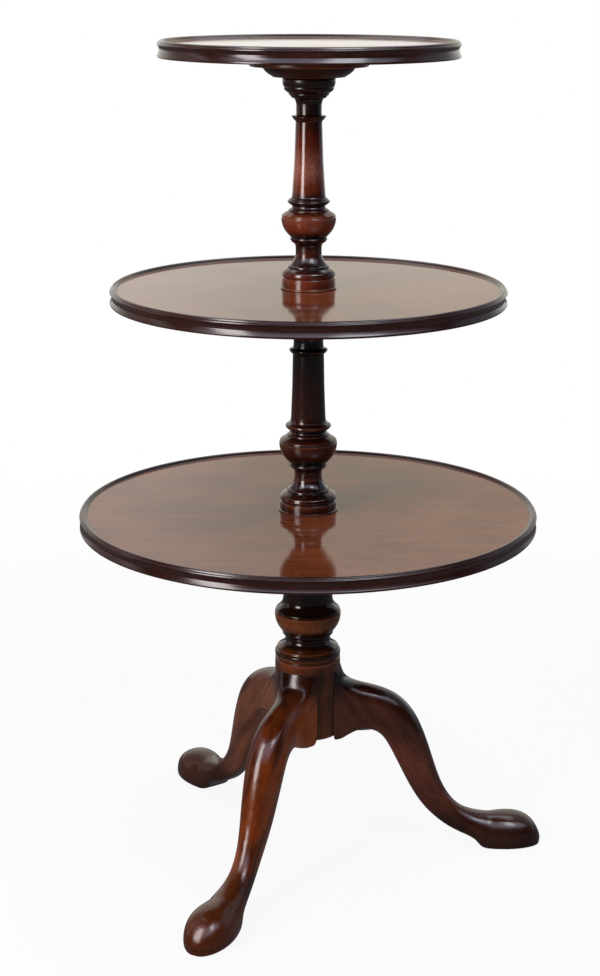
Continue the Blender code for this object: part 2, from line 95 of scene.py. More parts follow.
class Step(Enum):
    """How a turned outline gets from one point down to the next."""

    LINE = "straight"
    DROP = "leaves downwards, then runs in or out"
    SPREAD = "leaves sideways, then runs down"
    BELLY = "leaves downwards and turns in late"


LINE = Step.LINE
DROP = Step.DROP
SPREAD = Step.SPREAD
BELLY = Step.BELLY
Shares = tuple[tuple[Step, float, float], ...]

# Outside of a tray's rim: inset from the edge as a share of the rim's width, and drop from the
# crest as a share of the rim's height
RIM_SHARES = (
    (0.91, 0.175), (0.83, 0.145), (0.76, 0.105), (0.68, 0.06), (0.57, 0.02), (0.40, 0.00),
    (0.22, 0.05), (0.16, 0.13), (0.04, 0.18), (0.00, 0.25), (0.12, 0.31), (0.26, 0.47),
    (0.27, 0.62), (0.14, 0.79), (0.02, 0.88), (0.02, 0.95), (0.12, 1.00),
)

# Turned outlines from the top down: kind of step, radius as a share of the piece's radius, and
# drop as a share of its height
BEARER_SHARES: Shares = (
    (LINE, 0.98, 0.00), (LINE, 1.00, 0.06), (LINE, 1.00, 0.40), (LINE, 0.98, 0.46),
    (LINE, 0.77, 0.46), (DROP, 0.62, 0.96), (LINE, 0.61, 1.00),
)
UPPER_STEM_SHARES: Shares = (
    (LINE, 0.907, 0.0000), (LINE, 0.940, 0.0111), (DROP, 0.896, 0.0417), (LINE, 0.879, 0.0440),
    (LINE, 0.882, 0.0472), (BELLY, 0.737, 0.0721), (LINE, 0.712, 0.0749), (LINE, 0.712, 0.0804),
    (LINE, 0.681, 0.0846), (LINE, 0.636, 0.0874), (LINE, 0.625, 0.0934), (LINE, 0.569, 0.0971),
    (LINE, 0.510, 0.1003), (SPREAD, 0.454, 0.1281), (LINE, 0.451, 0.1732), (LINE, 0.469, 0.1764),
    (LINE, 0.581, 0.1788), (LINE, 0.613, 0.1815), (LINE, 0.609, 0.1852), (LINE, 0.568, 0.1890),
    (LINE, 0.560, 0.1918), (LINE, 0.536, 0.1960), (LINE, 0.490, 0.2011), (LINE, 0.470, 0.2067),
    (LINE, 0.514, 0.3875), (LINE, 0.587, 0.5411), (LINE, 0.598, 0.5530), (DROP, 0.644, 0.5672),
    (LINE, 0.687, 0.5701), (LINE, 0.683, 0.5734), (LINE, 0.740, 0.5767), (LINE, 0.754, 0.5806),
    (LINE, 0.751, 0.5848), (LINE, 0.712, 0.5896), (LINE, 0.687, 0.5934), (LINE, 0.623, 0.5987),
    (LINE, 0.588, 0.6024), (DROP, 0.659, 0.6182), (LINE, 0.713, 0.6205), (LINE, 0.723, 0.6244),
    (LINE, 0.713, 0.6268), (LINE, 0.830, 0.6335), (LINE, 0.954, 0.6454), (LINE, 0.961, 0.6487),
    (LINE, 0.944, 0.6512), (LINE, 0.951, 0.6535), (LINE, 0.973, 0.6568), (BELLY, 0.648, 0.7499),
    (LINE, 0.626, 0.7523), (LINE, 0.655, 0.7556), (LINE, 0.666, 0.7595), (LINE, 0.658, 0.7638),
    (LINE, 0.623, 0.7701), (LINE, 0.606, 0.7753), (LINE, 0.548, 0.7792), (LINE, 0.506, 0.7840),
    (SPREAD, 0.464, 0.8043), (LINE, 0.464, 0.8284), (DROP, 0.686, 0.8870), (LINE, 0.736, 0.8898),
    (LINE, 0.747, 0.8957), (LINE, 0.733, 0.8990), (LINE, 0.844, 0.9078), (SPREAD, 0.951, 0.9248),
    (LINE, 0.962, 0.9316), (DROP, 0.926, 0.9423), (LINE, 0.920, 0.9452), (LINE, 0.955, 0.9490),
    (LINE, 0.966, 0.9905), (LINE, 1.000, 0.9940), (LINE, 1.000, 1.0000),
)
LOWER_STEM_SHARES: Shares = (
    (LINE, 0.880, 0.0000), (LINE, 0.914, 0.0101), (DROP, 0.743, 0.0587), (LINE, 0.688, 0.0658),
    (LINE, 0.680, 0.0718), (LINE, 0.612, 0.0759), (LINE, 0.602, 0.0840), (LINE, 0.529, 0.0880),
    (SPREAD, 0.489, 0.1123), (LINE, 0.499, 0.1375), (LINE, 0.519, 0.1442), (LINE, 0.618, 0.1483),
    (LINE, 0.635, 0.1519), (LINE, 0.635, 0.1567), (LINE, 0.602, 0.1614), (LINE, 0.595, 0.1645),
    (LINE, 0.546, 0.1707), (LINE, 0.516, 0.1779), (LINE, 0.535, 0.3398), (LINE, 0.574, 0.5031),
    (LINE, 0.584, 0.5162), (DROP, 0.635, 0.5359), (LINE, 0.695, 0.5391), (LINE, 0.748, 0.5444),
    (LINE, 0.762, 0.5502), (LINE, 0.755, 0.5555), (LINE, 0.702, 0.5645), (LINE, 0.682, 0.5677),
    (LINE, 0.622, 0.5741), (LINE, 0.595, 0.5784), (DROP, 0.656, 0.5911), (LINE, 0.696, 0.5942),
    (LINE, 0.702, 0.5996), (LINE, 0.689, 0.6027), (LINE, 0.823, 0.6107), (LINE, 0.941, 0.6230),
    (LINE, 0.947, 0.6272), (LINE, 0.924, 0.6300), (LINE, 0.931, 0.6326), (LINE, 0.968, 0.6363),
    (BELLY, 0.611, 0.7474), (LINE, 0.588, 0.7501), (LINE, 0.621, 0.7534), (LINE, 0.632, 0.7581),
    (LINE, 0.625, 0.7635), (LINE, 0.585, 0.7695), (LINE, 0.568, 0.7737), (LINE, 0.518, 0.7769),
    (SPREAD, 0.457, 0.8016), (LINE, 0.464, 0.8204), (DROP, 0.654, 0.8846), (LINE, 0.705, 0.8873),
    (LINE, 0.715, 0.8943), (LINE, 0.705, 0.8980), (LINE, 0.823, 0.9072), (SPREAD, 0.945, 0.9257),
    (LINE, 0.955, 0.9332), (DROP, 0.918, 0.9457), (LINE, 0.912, 0.9489), (LINE, 0.949, 0.9538),
    (LINE, 0.957, 0.9905), (LINE, 1.000, 0.9940), (LINE, 1.000, 1.0000),
)
COLUMN_SHARES: Shares = (
    (LINE, 0.920, 0.0000), (LINE, 0.950, 0.0170), (DROP, 0.785, 0.1090), (LINE, 0.740, 0.1210),
    (LINE, 0.731, 0.1340), (LINE, 0.664, 0.1410), (SPREAD, 0.637, 0.1780), (LINE, 0.646, 0.2160),
    (LINE, 0.762, 0.2240), (LINE, 0.762, 0.2440), (LINE, 0.682, 0.2510), (LINE, 0.659, 0.2640),
    (LINE, 0.734, 0.4328), (LINE, 0.759, 0.4781), (DROP, 0.974, 0.5640), (LINE, 0.983, 0.5698),
    (LINE, 0.959, 0.5748), (LINE, 0.962, 0.5806), (LINE, 1.008, 0.5872), (BELLY, 0.808, 0.7316),
    (LINE, 0.772, 0.7349), (LINE, 0.747, 0.7391), (LINE, 0.750, 0.7433), (LINE, 0.769, 0.7483),
    (LINE, 0.775, 0.7549), (LINE, 0.769, 0.7632), (LINE, 0.744, 0.7699), (LINE, 0.686, 0.7757),
    (LINE, 0.668, 0.7824), (LINE, 0.693, 0.7874), (LINE, 0.693, 0.7949), (LINE, 0.677, 0.7991),
    (DROP, 0.939, 0.8751), (LINE, 0.948, 0.8809), (LINE, 0.927, 0.8860), (LINE, 0.936, 0.8918),
    (SPREAD, 0.998, 0.9094), (LINE, 1.001, 0.9236), (DROP, 0.974, 0.9421), (LINE, 0.956, 0.9463),
    (LINE, 0.956, 0.9555), (LINE, 0.996, 0.9605), (LINE, 1.000, 1.0000),
)

# Bands of tone down each turned piece: drop as a share of the turned height, and tone, from -1
# where a painted sheen lightens the wood to 1 where it is nearly black. The dark bands are partly
# staining and partly painted shade and painted dark reflection from the tray above
UPPER_STEM_TONES = (
    (0.00, 1.00), (0.08, 1.00), (0.12, 0.80), (0.19, 0.70), (0.24, 0.50), (0.30, 0.15),
    (0.36, -0.40), (0.44, -0.90), (0.49, -0.30), (0.53, 0.25), (0.56, 0.80), (0.61, 0.80),
    (0.63, 0.55), (0.645, 0.20), (0.66, -0.20), (0.70, 0.05), (0.725, 0.40), (0.74, 0.90),
    (0.76, 0.95), (0.79, 0.80), (0.83, 0.50), (0.87, 0.75), (0.89, 0.85), (0.92, 0.50),
    (0.945, 0.15), (0.965, 0.00), (1.00, 0.30),
)
LOWER_STEM_TONES = (
    (0.00, 1.00), (0.13, 0.90), (0.24, 0.60), (0.29, 0.25), (0.40, 0.00), (0.51, 0.00),
    (0.54, 0.35), (0.63, 0.40), (0.645, -0.10), (0.675, 0.00), (0.70, 0.35), (0.735, 0.80),
    (0.79, 0.45), (0.81, 0.00), (0.83, -0.25), (0.86, 0.20), (0.89, 0.60), (0.92, 0.00),
    (0.95, 0.10), (1.00, 0.30),
)
COLUMN_TONES = (
    (0.00, 1.00), (0.54, 1.00), (0.572, 0.85), (0.588, 0.05), (0.66, 0.00), (0.70, 0.45),
    (0.74, 0.95), (0.84, 0.90), (0.862, 0.30), (0.892, 0.25), (0.905, 0.90), (0.918, 0.90),
    (0.93, 0.10), (1.00, 0.00), (1.06, 0.35),
)

# How much of its shelter, a painted shade, takes off a painted sheen
SHELTER_ON_SHEEN_SHARE = 0.5

# Stations along a leg from the column to the toe: reach and height of the upper line, reach and
# height of the lower line, half width, and how much of the section is the root's and the foot's.
# Reaches are shares of the leg's reach, upper heights of the root's top, lower heights of the
# root's bottom, and widths of the root's half width.
LEG_SHARES = (
    (-0.045, 1.004, -0.045, 1.000, 1.114, 1.00, 0.00),
    (-0.022, 1.004, -0.022, 1.000, 1.114, 1.00, 0.00),
    (-0.008, 1.002, -0.008, 1.000, 1.114, 1.00, 0.00),
    (0.003, 0.998, 0.003, 1.000, 1.085, 1.00, 0.00),
    (0.014, 0.950, 0.019, 1.000, 0.985, 0.85, 0.00),
    (0.030, 0.921, 0.033, 1.017, 0.900, 0.60, 0.00),
    (0.057, 0.903, 0.054, 1.035, 0.851, 0.35, 0.00),
    (0.095, 0.890, 0.075, 1.052, 0.829, 0.15, 0.00),
    (0.137, 0.880, 0.106, 1.063, 0.818, 0.00, 0.00),
    (0.183, 0.866, 0.144, 1.059, 0.821, 0.00, 0.00),
    (0.228, 0.848, 0.174, 1.041, 0.836, 0.00, 0.00),
    (0.266, 0.828, 0.197, 1.012, 0.850, 0.00, 0.00),
    (0.305, 0.798, 0.216, 0.974, 0.857, 0.00, 0.00),
    (0.339, 0.760, 0.231, 0.930, 0.857, 0.00, 0.00),
    (0.369, 0.716, 0.249, 0.875, 0.850, 0.00, 0.00),
    (0.393, 0.666, 0.267, 0.812, 0.832, 0.00, 0.00),
    (0.420, 0.598, 0.291, 0.728, 0.796, 0.00, 0.00),
    (0.447, 0.512, 0.317, 0.638, 0.750, 0.00, 0.00),
    (0.474, 0.423, 0.343, 0.551, 0.682, 0.00, 0.00),
    (0.496, 0.359, 0.372, 0.467, 0.621, 0.00, 0.00),
    (0.524, 0.300, 0.402, 0.391, 0.561, 0.00, 0.00),
    (0.555, 0.253, 0.440, 0.316, 0.546, 0.00, 0.00),
    (0.590, 0.216, 0.486, 0.243, 0.561, 0.00, 0.05),
    (0.629, 0.193, 0.534, 0.183, 0.604, 0.00, 0.10),
    (0.667, 0.179, 0.587, 0.135, 0.675, 0.00, 0.20),
    (0.702, 0.171, 0.639, 0.099, 0.757, 0.00, 0.35),
    (0.726, 0.167, 0.676, 0.058, 0.843, 0.00, 0.60),
    (0.744, 0.166, 0.695, 0.007, 0.893, 0.00, 0.90),
    (0.771, 0.167, 0.737, 0.000, 0.986, 0.00, 1.00),
    (0.810, 0.169, 0.789, 0.000, 1.093, 0.00, 1.00),
    (0.852, 0.167, 0.834, 0.000, 1.132, 0.00, 1.00),
    (0.890, 0.161, 0.879, 0.000, 1.096, 0.00, 1.00),
    (0.923, 0.148, 0.914, 0.000, 1.000, 0.00, 1.00),
    (0.949, 0.129, 0.942, 0.000, 0.879, 0.00, 1.00),
    (0.970, 0.104, 0.963, 0.000, 0.725, 0.00, 1.00),
    (0.986, 0.075, 0.980, 0.000, 0.543, 0.00, 1.00),
    (0.996, 0.046, 0.990, 0.000, 0.339, 0.00, 1.00),
    (1.000, 0.029, 0.995, 0.000, 0.143, 0.00, 1.00),
)

# Half of a leg's section, from its upper line to its lower line: half width and height
ROOT_SHARES = (
    (0.00, 1.00), (0.45, 1.00), (0.80, 0.985), (0.96, 0.95), (1.00, 0.85), (1.00, 0.35),
    (0.99, 0.07), (0.90, 0.00), (0.00, 0.00),
)
SHANK_SHARES = (
    (0.00, 1.00), (0.41, 0.97), (0.75, 0.89), (0.94, 0.73), (1.00, 0.51), (0.98, 0.28),
    (0.88, 0.09), (0.58, 0.00), (0.00, 0.00),
)
FOOT_SHARES = (
    (0.00, 1.00), (0.45, 0.96), (0.78, 0.81), (0.95, 0.56), (1.00, 0.32), (1.00, 0.14),
    (0.92, 0.00), (0.45, 0.00), (0.00, 0.00),
)

# A screw from the middle of its head up: radius as a share of the head's, and height as a share
# of the length
SCREW_SHARES = (
    (0.00, -0.020), (0.60, -0.016), (1.00, 0.000), (1.00, 0.025), (0.55, 0.120),
    (0.55, 0.800), (0.00, 1.000),
)


class Mark(Enum):
    """Numbers that a piece's vertices carry for its finish to read."""

    # Painted shade: how hidden each point is in grooves and corners, and on a leg how far it faces
    # down
    RECESS = "recess"
    WEAR = "wear"
    # Tone: partly staining and partly painted shade, from shelter and bands; below 0 a painted sheen
    TONE = "tone"


class Grain(Enum):
    """Which way a piece's grain runs, as the tilt from X to the grain."""

    ACROSS = 0.0
    UPRIGHT = -math.pi / 2
    DOWN_THE_LEG = math.radians(52)


Number = Union["Figure", Socket, float]


class Figure:
    """A number from a shader socket. Python's operators on it add Math nodes."""

    def __init__(self, bench: "Bench", socket: Socket) -> None:
        """Wrap a socket.

        Args:
            bench: the nodes that the socket belongs to.
            socket: the socket that gives the number.
        """
        self.bench = bench
        self.socket = socket

    def maths(self, operation: str, *others: Number) -> "Figure":
        """Add a Math node that takes this number first.

        Args:
            operation: the node's operation.
            others: the other numbers that it takes, in order.

        Returns:
            What the node gives.
        """
        sockets = dict(enumerate((self, *others)))
        made = self.bench.node("ShaderNodeMath", sockets, operation=operation)
        return Figure(self.bench, made.outputs[0])

    def __add__(self, other: Number) -> "Figure":
        """Add a number."""
        return self.maths("ADD", other)

    def __sub__(self, other: Number) -> "Figure":
        """Take a number away."""
        return self.maths("SUBTRACT", other)

    def __rsub__(self, other: Number) -> "Figure":
        """Take from a number."""
        return self.maths("MULTIPLY_ADD", -1.0, other)

    def __mul__(self, other: Number) -> "Figure":
        """Multiply by a number."""
        return self.maths("MULTIPLY", other)

    __radd__ = __add__
    __rmul__ = __mul__

    def rise(self, low: float, high: float) -> "Figure":
        """Bring the number from a range to 0 to 1 with soft ends.

        Args:
            low: the value that becomes 0.
            high: the value that becomes 1.

        Returns:
            The number in its new range.
        """
        sockets = {"Value": self, "From Min": low, "From Max": high}
        made = self.bench.node("ShaderNodeMapRange", sockets, interpolation_type="SMOOTHSTEP")
        return Figure(self.bench, made.outputs[0])


class Bench:
    """The node tree of one material or of the world."""

    def __init__(self, tree: bpy.types.NodeTree) -> None:
        """Empty a node tree to work in.

        Args:
            tree: the tree.
        """
        self.tree = tree
        self.tree.nodes.clear()

    def node(
        self,
        kind: str,
        sockets: dict[Any, Any] | None = None,
        **settings: Any,
    ) -> bpy.types.Node:
        """Add a node.

        Args:
            kind: the node's type.
            sockets: values or links by socket name or number.
            settings: its settings, which are set first.

        Returns:
            The node.
        """
        made = self.tree.nodes.new(kind)
        for name, value in settings.items():
            setattr(made, name, value)
        for name, value in (sockets or {}).items():
            if isinstance(value, Figure):
                value = value.socket
            if isinstance(value, Socket):
                self.tree.links.new(value, made.inputs[name])
            else:
                made.inputs[name].default_value = value
        return made

    def mix(self, share: Number, first: Any, second: Any, blend: str = "MIX") -> Socket:
        """Mix two colours.

        Args:
            share: how much of the second.
            first: a colour or a colour socket.
            second: a colour or a colour socket.
            blend: the way of mixing.

        Returns:
            The mixed colour's socket.
        """
        sockets = {0: share, 6: first, 7: second}
        return self.node("ShaderNodeMix", sockets, data_type="RGBA", blend_type=blend).outputs[2]

    def mark(self, mark: Mark) -> Figure:
        """Read one of the numbers that the vertices carry."""
        made = self.node("ShaderNodeAttribute", attribute_name=mark.value)
        return Figure(self, made.outputs["Fac"])

    def parts(self, place: Socket) -> list[Figure]:
        """Split coordinates into their three numbers."""
        made = self.node("ShaderNodeSeparateXYZ", {0: place})
        return [Figure(self, part) for part in made.outputs]

    def finish(self, shader: Socket, output: str = "ShaderNodeOutputMaterial") -> None:
        """Join a shader to the tree's output."""
        self.node(output, {"Surface": shader})


def new_bench(name: str) -> tuple[bpy.types.Material, Bench]:
    """Make an empty material.

    Args:
        name: its name.

    Returns:
        The material and its nodes.
    """
    made = bpy.data.materials.new(name)
    made.use_nodes = True
    return made, Bench(made.node_tree)


@dataclass(frozen=True)
class Noise:
    """A noise with so many features to a metre along each axis, and the span of it that shows."""

    stretch: tuple[float, float, float]
    span: Point = (0.0, 1.0)
    detail: float = 2.0
    roughness: float = 0.5
    distortion: float = 0.0

    def whole(self, bench: Bench, place: Socket) -> Figure:
        """Add the noise.

        Args:
            bench: the nodes to add it to.
            place: the coordinates that it reads.

        Returns:
            The noise, 0 to 1.
        """
        sockets = {0: place, 1: self.stretch}
        scaled = bench.node("ShaderNodeVectorMath", sockets, operation="MULTIPLY")
        sockets = {
            "Vector": scaled.outputs[0],
            "Scale": 1.0,
            "Detail": self.detail,
            "Roughness": self.roughness,
            "Distortion": self.distortion,
        }
        return Figure(bench, bench.node("ShaderNodeTexNoise", sockets).outputs[0])

    def shown(self, bench: Bench, place: Socket) -> Figure:
        """Add the noise and bring its span to 0 to 1."""
        return self.whole(bench, place).rise(*self.span)


# What the wood shows, from its broad figure to its pores and knocks
FIGURE = Noise((5, 34, 34), (0.34, 0.66), detail=4.0, roughness=0.6, distortion=0.4)
CLOUD = Noise((9, 9, 9), (0.42, 0.70), detail=3.0)
LINES = Noise((11, 430, 430), (0.30, 0.72), detail=3.0, roughness=0.55)
PORES = Noise((75, 1500, 1500), (0.58, 0.70), detail=1.0)
FLECKS = Noise((70, 420, 420), (0.40, 0.62), detail=3.0, roughness=0.7)
BLEACH = Noise((260, 640, 640), (0.38, 0.60))
KNOCKS = Noise((60, 60, 60))
CLOUD_SHARE = 0.60
LINE_SHARE = 0.55
PORE_SHARE = 0.50
SEAM_SHARE = 0.9
LINE_RELIEF = 0.35
PORE_RELIEF = 0.5
LEAST_STREAK = 0.65
LEAST_BLEACH = 0.45
LINE_TINT = (0.40, 0.32, 0.30, 1.0)
PORE_TINT = (0.22, 0.16, 0.15, 1.0)
FLECK_TINT = (0.45, 0.38, 0.36, 1.0)

# What metal shows
MOTTLE = Noise((120, 120, 120), (0.35, 0.68), detail=5.0, roughness=0.65)
SCALE = Noise((900, 900, 900))
SCALE_RELIEF = 0.0002
SCALE_STRENGTH = 0.6
DULLED_METALLIC = 0.35

# How the floor's paper varies
FIBRE = Noise((40, 40, 40), detail=3.0)


@dataclass(frozen=True)
class Polish:
    """French polish over mahogany with dark staining, with painted shade in its grooves, a painted
    sheen in places, and rubbed edges.
    """

    deep: Colour
    ground: Colour
    glow: Colour
    grain: Grain
    gloss: float = 0.10
    relief: float = 0.00003
    # How much painted shade the recesses get
    recess_share: float = 0.95
    fleck: float = 0.0
    figure: float = 1.0
    shine: float = 0.5
    stain_and_shade_dulling: float = 0.0
    wear_share: float = 0.35
    dents: float = 0.0
    bare_below: bool = False
    joint_radius: float = 0.0
    joint_width: float = 0.0006
    pad_line: float = 0.0
    pad_line_half: float = 0.0007
    worn_cloud: Point = (0.30, 0.62)
    worn_span: Point = (0.10, 0.75)
    stain_and_shade_span: Point = (0.0, 0.9)
    recess_shade_span: Point = (0.08, 0.50)
    below_span: Point = (0.80, 0.95)
    cloud_gloss_span: Point = (0.35, 0.75)
    cloud_dulling: float = 0.06
    line_and_recess_dulling: float = 0.04
    bare_dulling: float = 0.42
    # Tints: painted shade in recesses, also used for the seams' real dark line; the dark tone, partly
    # staining and partly painted shade; painted sheen
    recess_shade_and_seam_tint: Colour = (0.06, 0.04, 0.04, 1.0)
    stain_and_shade_tint: Colour = (0.08, 0.06, 0.07, 1.0)
    painted_sheen: Colour = (0.33, 0.122, 0.090, 1.0)
    worn: Colour = (0.22, 0.060, 0.024, 1.0)
    bare: Colour = (0.085, 0.042, 0.024, 1.0)

    def seams(self, bench: Bench, axis: Vector) -> Figure:
        """Draw the thin dark lines along the column's joint and round a foot's pad.

        Args:
            bench: the material's nodes.
            axis: where the pillar stands.

        Returns:
            How dark the lines are at a point, 0 to 1.
        """
        sockets = {"Vector": bench.node("ShaderNodeTexCoord").outputs["Object"], "Location": axis}
        place = bench.node("ShaderNodeMapping", sockets, vector_type="TEXTURE").outputs[0]
        east, north, high = bench.parts(place)
        out = (east * east + north * north).maths("SQRT")
        joint = 1 - (out - self.joint_radius).rise(0.0, self.joint_width)
        off = (high - self.pad_line).maths("ABSOLUTE")
        return joint.maths("MAXIMUM", 1 - off.rise(0.0, self.pad_line_half))

    def painted_sheen_share(self, bench: Bench, place: Socket, tone: Figure, streak: Figure) -> Figure:
        """Work out how much painted sheen lightens the wood, in streaks and fine spots.

        Args:
            bench: the material's nodes.
            place: the coordinates along the grain.
            tone: the piece's tone, below 0 where it has painted sheen.
            streak: the broad figure.

        Returns:
            The share of the painted sheen's colour.
        """
        painted_sheen = (tone * -1.0).maths("MAXIMUM", 0.0)
        painted_sheen = painted_sheen * (LEAST_STREAK + (1 - LEAST_STREAK) * streak)
        spots = BLEACH.shown(bench, place)
        return painted_sheen * (LEAST_BLEACH + (1 - LEAST_BLEACH) * spots)

    def bumps(self, bench: Bench, place: Socket, height: Figure) -> Socket:
        """Raise the grain and dent the surface where the finish has knocks.

        Args:
            bench: the material's nodes.
            place: the coordinates along the grain.
            height: the grain's height.

        Returns:
            The bent normal's socket.
        """
        sockets = {"Strength": 1.0, "Distance": self.relief, "Height": height}
        bump = bench.node("ShaderNodeBump", sockets).outputs[0]
        if self.dents:
            knocks = KNOCKS.whole(bench, place)
            sockets = {"Strength": 1.0, "Distance": self.dents, "Height": knocks, "Normal": bump}
            bump = bench.node("ShaderNodeBump", sockets).outputs[0]
        return bump

    def material(
        self,
        name: str,
        centre: Vector,
        turn: float = 0.0,
        axis: Vector | None = None,
    ) -> bpy.types.Material:
        """Make the finish for a piece.

        Args:
            name: the piece's name.
            centre: where the piece's pattern is centred.
            turn: how far the piece is turned about Z.
            axis: where the pillar stands, for a piece that is jointed to it.

        Returns:
            The material.
        """
        made, bench = new_bench(name)
        sockets = {
            "Vector": bench.node("ShaderNodeTexCoord").outputs["Object"],
            "Location": centre,
            "Rotation": (0.0, self.grain.value, turn),
        }
        place = bench.node("ShaderNodeMapping", sockets, vector_type="TEXTURE").outputs[0]
        streak = FIGURE.shown(bench, place)
        cloud = CLOUD.whole(bench, place)
        lines = LINES.whole(bench, place)
        fine = lines.rise(*LINES.span) * LINE_SHARE
        pores = PORES.shown(bench, place) * PORE_SHARE
        colour = bench.mix(1 - self.figure * (1 - streak), self.deep, self.ground)
        colour = bench.mix(cloud.rise(*CLOUD.span) * CLOUD_SHARE, colour, self.glow)
        colour = bench.mix(fine, colour, LINE_TINT, "MULTIPLY")
        colour = bench.mix(pores, colour, PORE_TINT, "MULTIPLY")
        if self.fleck:
            flecks = FLECKS.shown(bench, place) * self.fleck
            colour = bench.mix(flecks, colour, FLECK_TINT, "MULTIPLY")
        rubbed = (bench.mark(Mark.WEAR) * cloud.rise(*self.worn_cloud)).rise(*self.worn_span)
        colour = bench.mix(rubbed * self.wear_share, colour, self.worn)
        # Painted sheen where the tone is below 0, then the dark tone, partly staining and partly
        # painted shade
        tone = bench.mark(Mark.TONE)
        colour = bench.mix(self.painted_sheen_share(bench, place, tone, streak), colour, self.painted_sheen)
        stain_and_shade = tone.rise(*self.stain_and_shade_span)
        colour = bench.mix(stain_and_shade, colour, self.stain_and_shade_tint, "MULTIPLY")
        # Painted shade in recesses
        recess_shade = bench.mark(Mark.RECESS).rise(*self.recess_shade_span) * self.recess_share
        colour = bench.mix(recess_shade, colour, self.recess_shade_and_seam_tint, "MULTIPLY")
        rough = self.gloss + self.cloud_dulling * cloud.rise(*self.cloud_gloss_span)
        rough = rough + self.line_and_recess_dulling * fine + self.line_and_recess_dulling * recess_shade
        if self.stain_and_shade_dulling:
            rough = rough + stain_and_shade * self.stain_and_shade_dulling
        if axis is not None:
            seams = self.seams(bench, axis) * SEAM_SHARE
            colour = bench.mix(seams, colour, self.recess_shade_and_seam_tint, "MULTIPLY")
        if self.bare_below:
            normal = bench.node("ShaderNodeNewGeometry").outputs["Normal"]
            below = (bench.parts(normal)[2] * -1.0).rise(*self.below_span)
            colour = bench.mix(below, colour, bench.mix(fine, self.bare, self.deep))
            rough = rough + self.bare_dulling * below
        sockets = {
            "Base Color": colour,
            "Roughness": rough,
            "Specular IOR Level": self.shine,
            "Normal": self.bumps(bench, place, LINE_RELIEF * lines - PORE_RELIEF * pores),
        }
        bench.finish(bench.node("ShaderNodeBsdfPrincipled", sockets).outputs[0])
        return made


@dataclass(frozen=True)
class Metal:
    """Old steel or iron, mottled and dull in places."""

    bright: Colour
    dull: Colour
    metallic: float
    smooth: float
    rough: float

    def material(self, name: str) -> bpy.types.Material:
        """Make the finish.

        Args:
            name: the material's name.

        Returns:
            The material.
        """
        made, bench = new_bench(name)
        place = bench.node("ShaderNodeTexCoord").outputs["Object"]
        mottle = MOTTLE.shown(bench, place)
        height = SCALE.whole(bench, place) + mottle
        sockets = {"Strength": SCALE_STRENGTH, "Distance": SCALE_RELIEF, "Height": height}
        bump = bench.node("ShaderNodeBump", sockets)
        sockets = {
            "Base Color": bench.mix(mottle, self.bright, self.dull),
            "Metallic": self.metallic - DULLED_METALLIC * mottle,
            "Roughness": self.smooth + (self.rough - self.smooth) * mottle,
            "Normal": bump.outputs[0],
        }
        bench.finish(bench.node("ShaderNodeBsdfPrincipled", sockets).outputs[0])
        return made


TRAY_POLISH = Polish(
    deep=(0.075, 0.020, 0.008, 1.0),
    ground=(0.255, 0.065, 0.024, 1.0),
    glow=(0.330, 0.092, 0.035, 1.0),
    grain=Grain.ACROSS,
    gloss=0.045,
    relief=0.000012,
    fleck=0.30,
    figure=0.45,
    bare_below=True,
    # The rim's tint: partly a dark staining, partly a painted dark-blue reflection
    stain_and_shade_tint=(0.13, 0.13, 0.24, 1.0),
    stain_and_shade_dulling=0.11,
)
# Near black: partly painted shade under the tray that it carries
BEARER_POLISH = Polish(
    deep=(0.007, 0.0025, 0.002, 1.0),
    ground=(0.022, 0.0070, 0.0050, 1.0),
    glow=(0.036, 0.0110, 0.0070, 1.0),
    grain=Grain.ACROSS,
    gloss=0.26,
    shine=0.22,
)
UPPER_STEM_POLISH = Polish(
    deep=(0.035, 0.0060, 0.0035, 1.0),
    ground=(0.135, 0.0215, 0.0065, 1.0),
    glow=(0.200, 0.0390, 0.0125, 1.0),
    grain=Grain.UPRIGHT,
    stain_and_shade_dulling=0.08,
)
# Darker than the upper stem: partly painted shade under the middle tray
LOWER_STEM_POLISH = Polish(
    deep=(0.008, 0.0018, 0.0012, 1.0),
    ground=(0.028, 0.0048, 0.0028, 1.0),
    glow=(0.052, 0.0092, 0.0050, 1.0),
    grain=Grain.UPRIGHT,
    stain_and_shade_dulling=0.06,
)
COLUMN_POLISH = Polish(
    deep=(0.020, 0.0042, 0.0010, 1.0),
    ground=(0.095, 0.0200, 0.0032, 1.0),
    glow=(0.200, 0.0520, 0.0080, 1.0),
    grain=Grain.UPRIGHT,
)
# One mahogany in three brightnesses: the front and back legs' lighter copies are partly painted light,
# the right leg's darker copy partly painted shade
FRONT_LEG_POLISH = Polish(
    deep=(0.060, 0.0110, 0.0024, 1.0),
    ground=(0.215, 0.0420, 0.0070, 1.0),
    glow=(0.380, 0.0880, 0.0150, 1.0),
    grain=Grain.DOWN_THE_LEG,
    gloss=0.15,
    shine=0.42,
    relief=0.00006,
    dents=0.0005,
    stain_and_shade_tint=(0.12, 0.10, 0.13, 1.0),
)
DULL_LEG_POLISH = replace(
    FRONT_LEG_POLISH,
    deep=(0.030, 0.0075, 0.0040, 1.0),
    ground=(0.085, 0.0220, 0.0110, 1.0),
    glow=(0.150, 0.0420, 0.0200, 1.0),
    gloss=0.12,
    shine=0.46,
)
BACK_LEG_POLISH = replace(
    DULL_LEG_POLISH,
    gloss=0.17,
    shine=0.30,
    deep=(0.060, 0.0200, 0.0110, 1.0),
    ground=(0.150, 0.0500, 0.0270, 1.0),
    glow=(0.230, 0.0850, 0.0480, 1.0),
)
STEEL = Metal(
    bright=(0.42, 0.40, 0.37, 1.0),
    dull=(0.10, 0.070, 0.050, 1.0),
    metallic=1.0,
    smooth=0.30,
    rough=0.62,
)
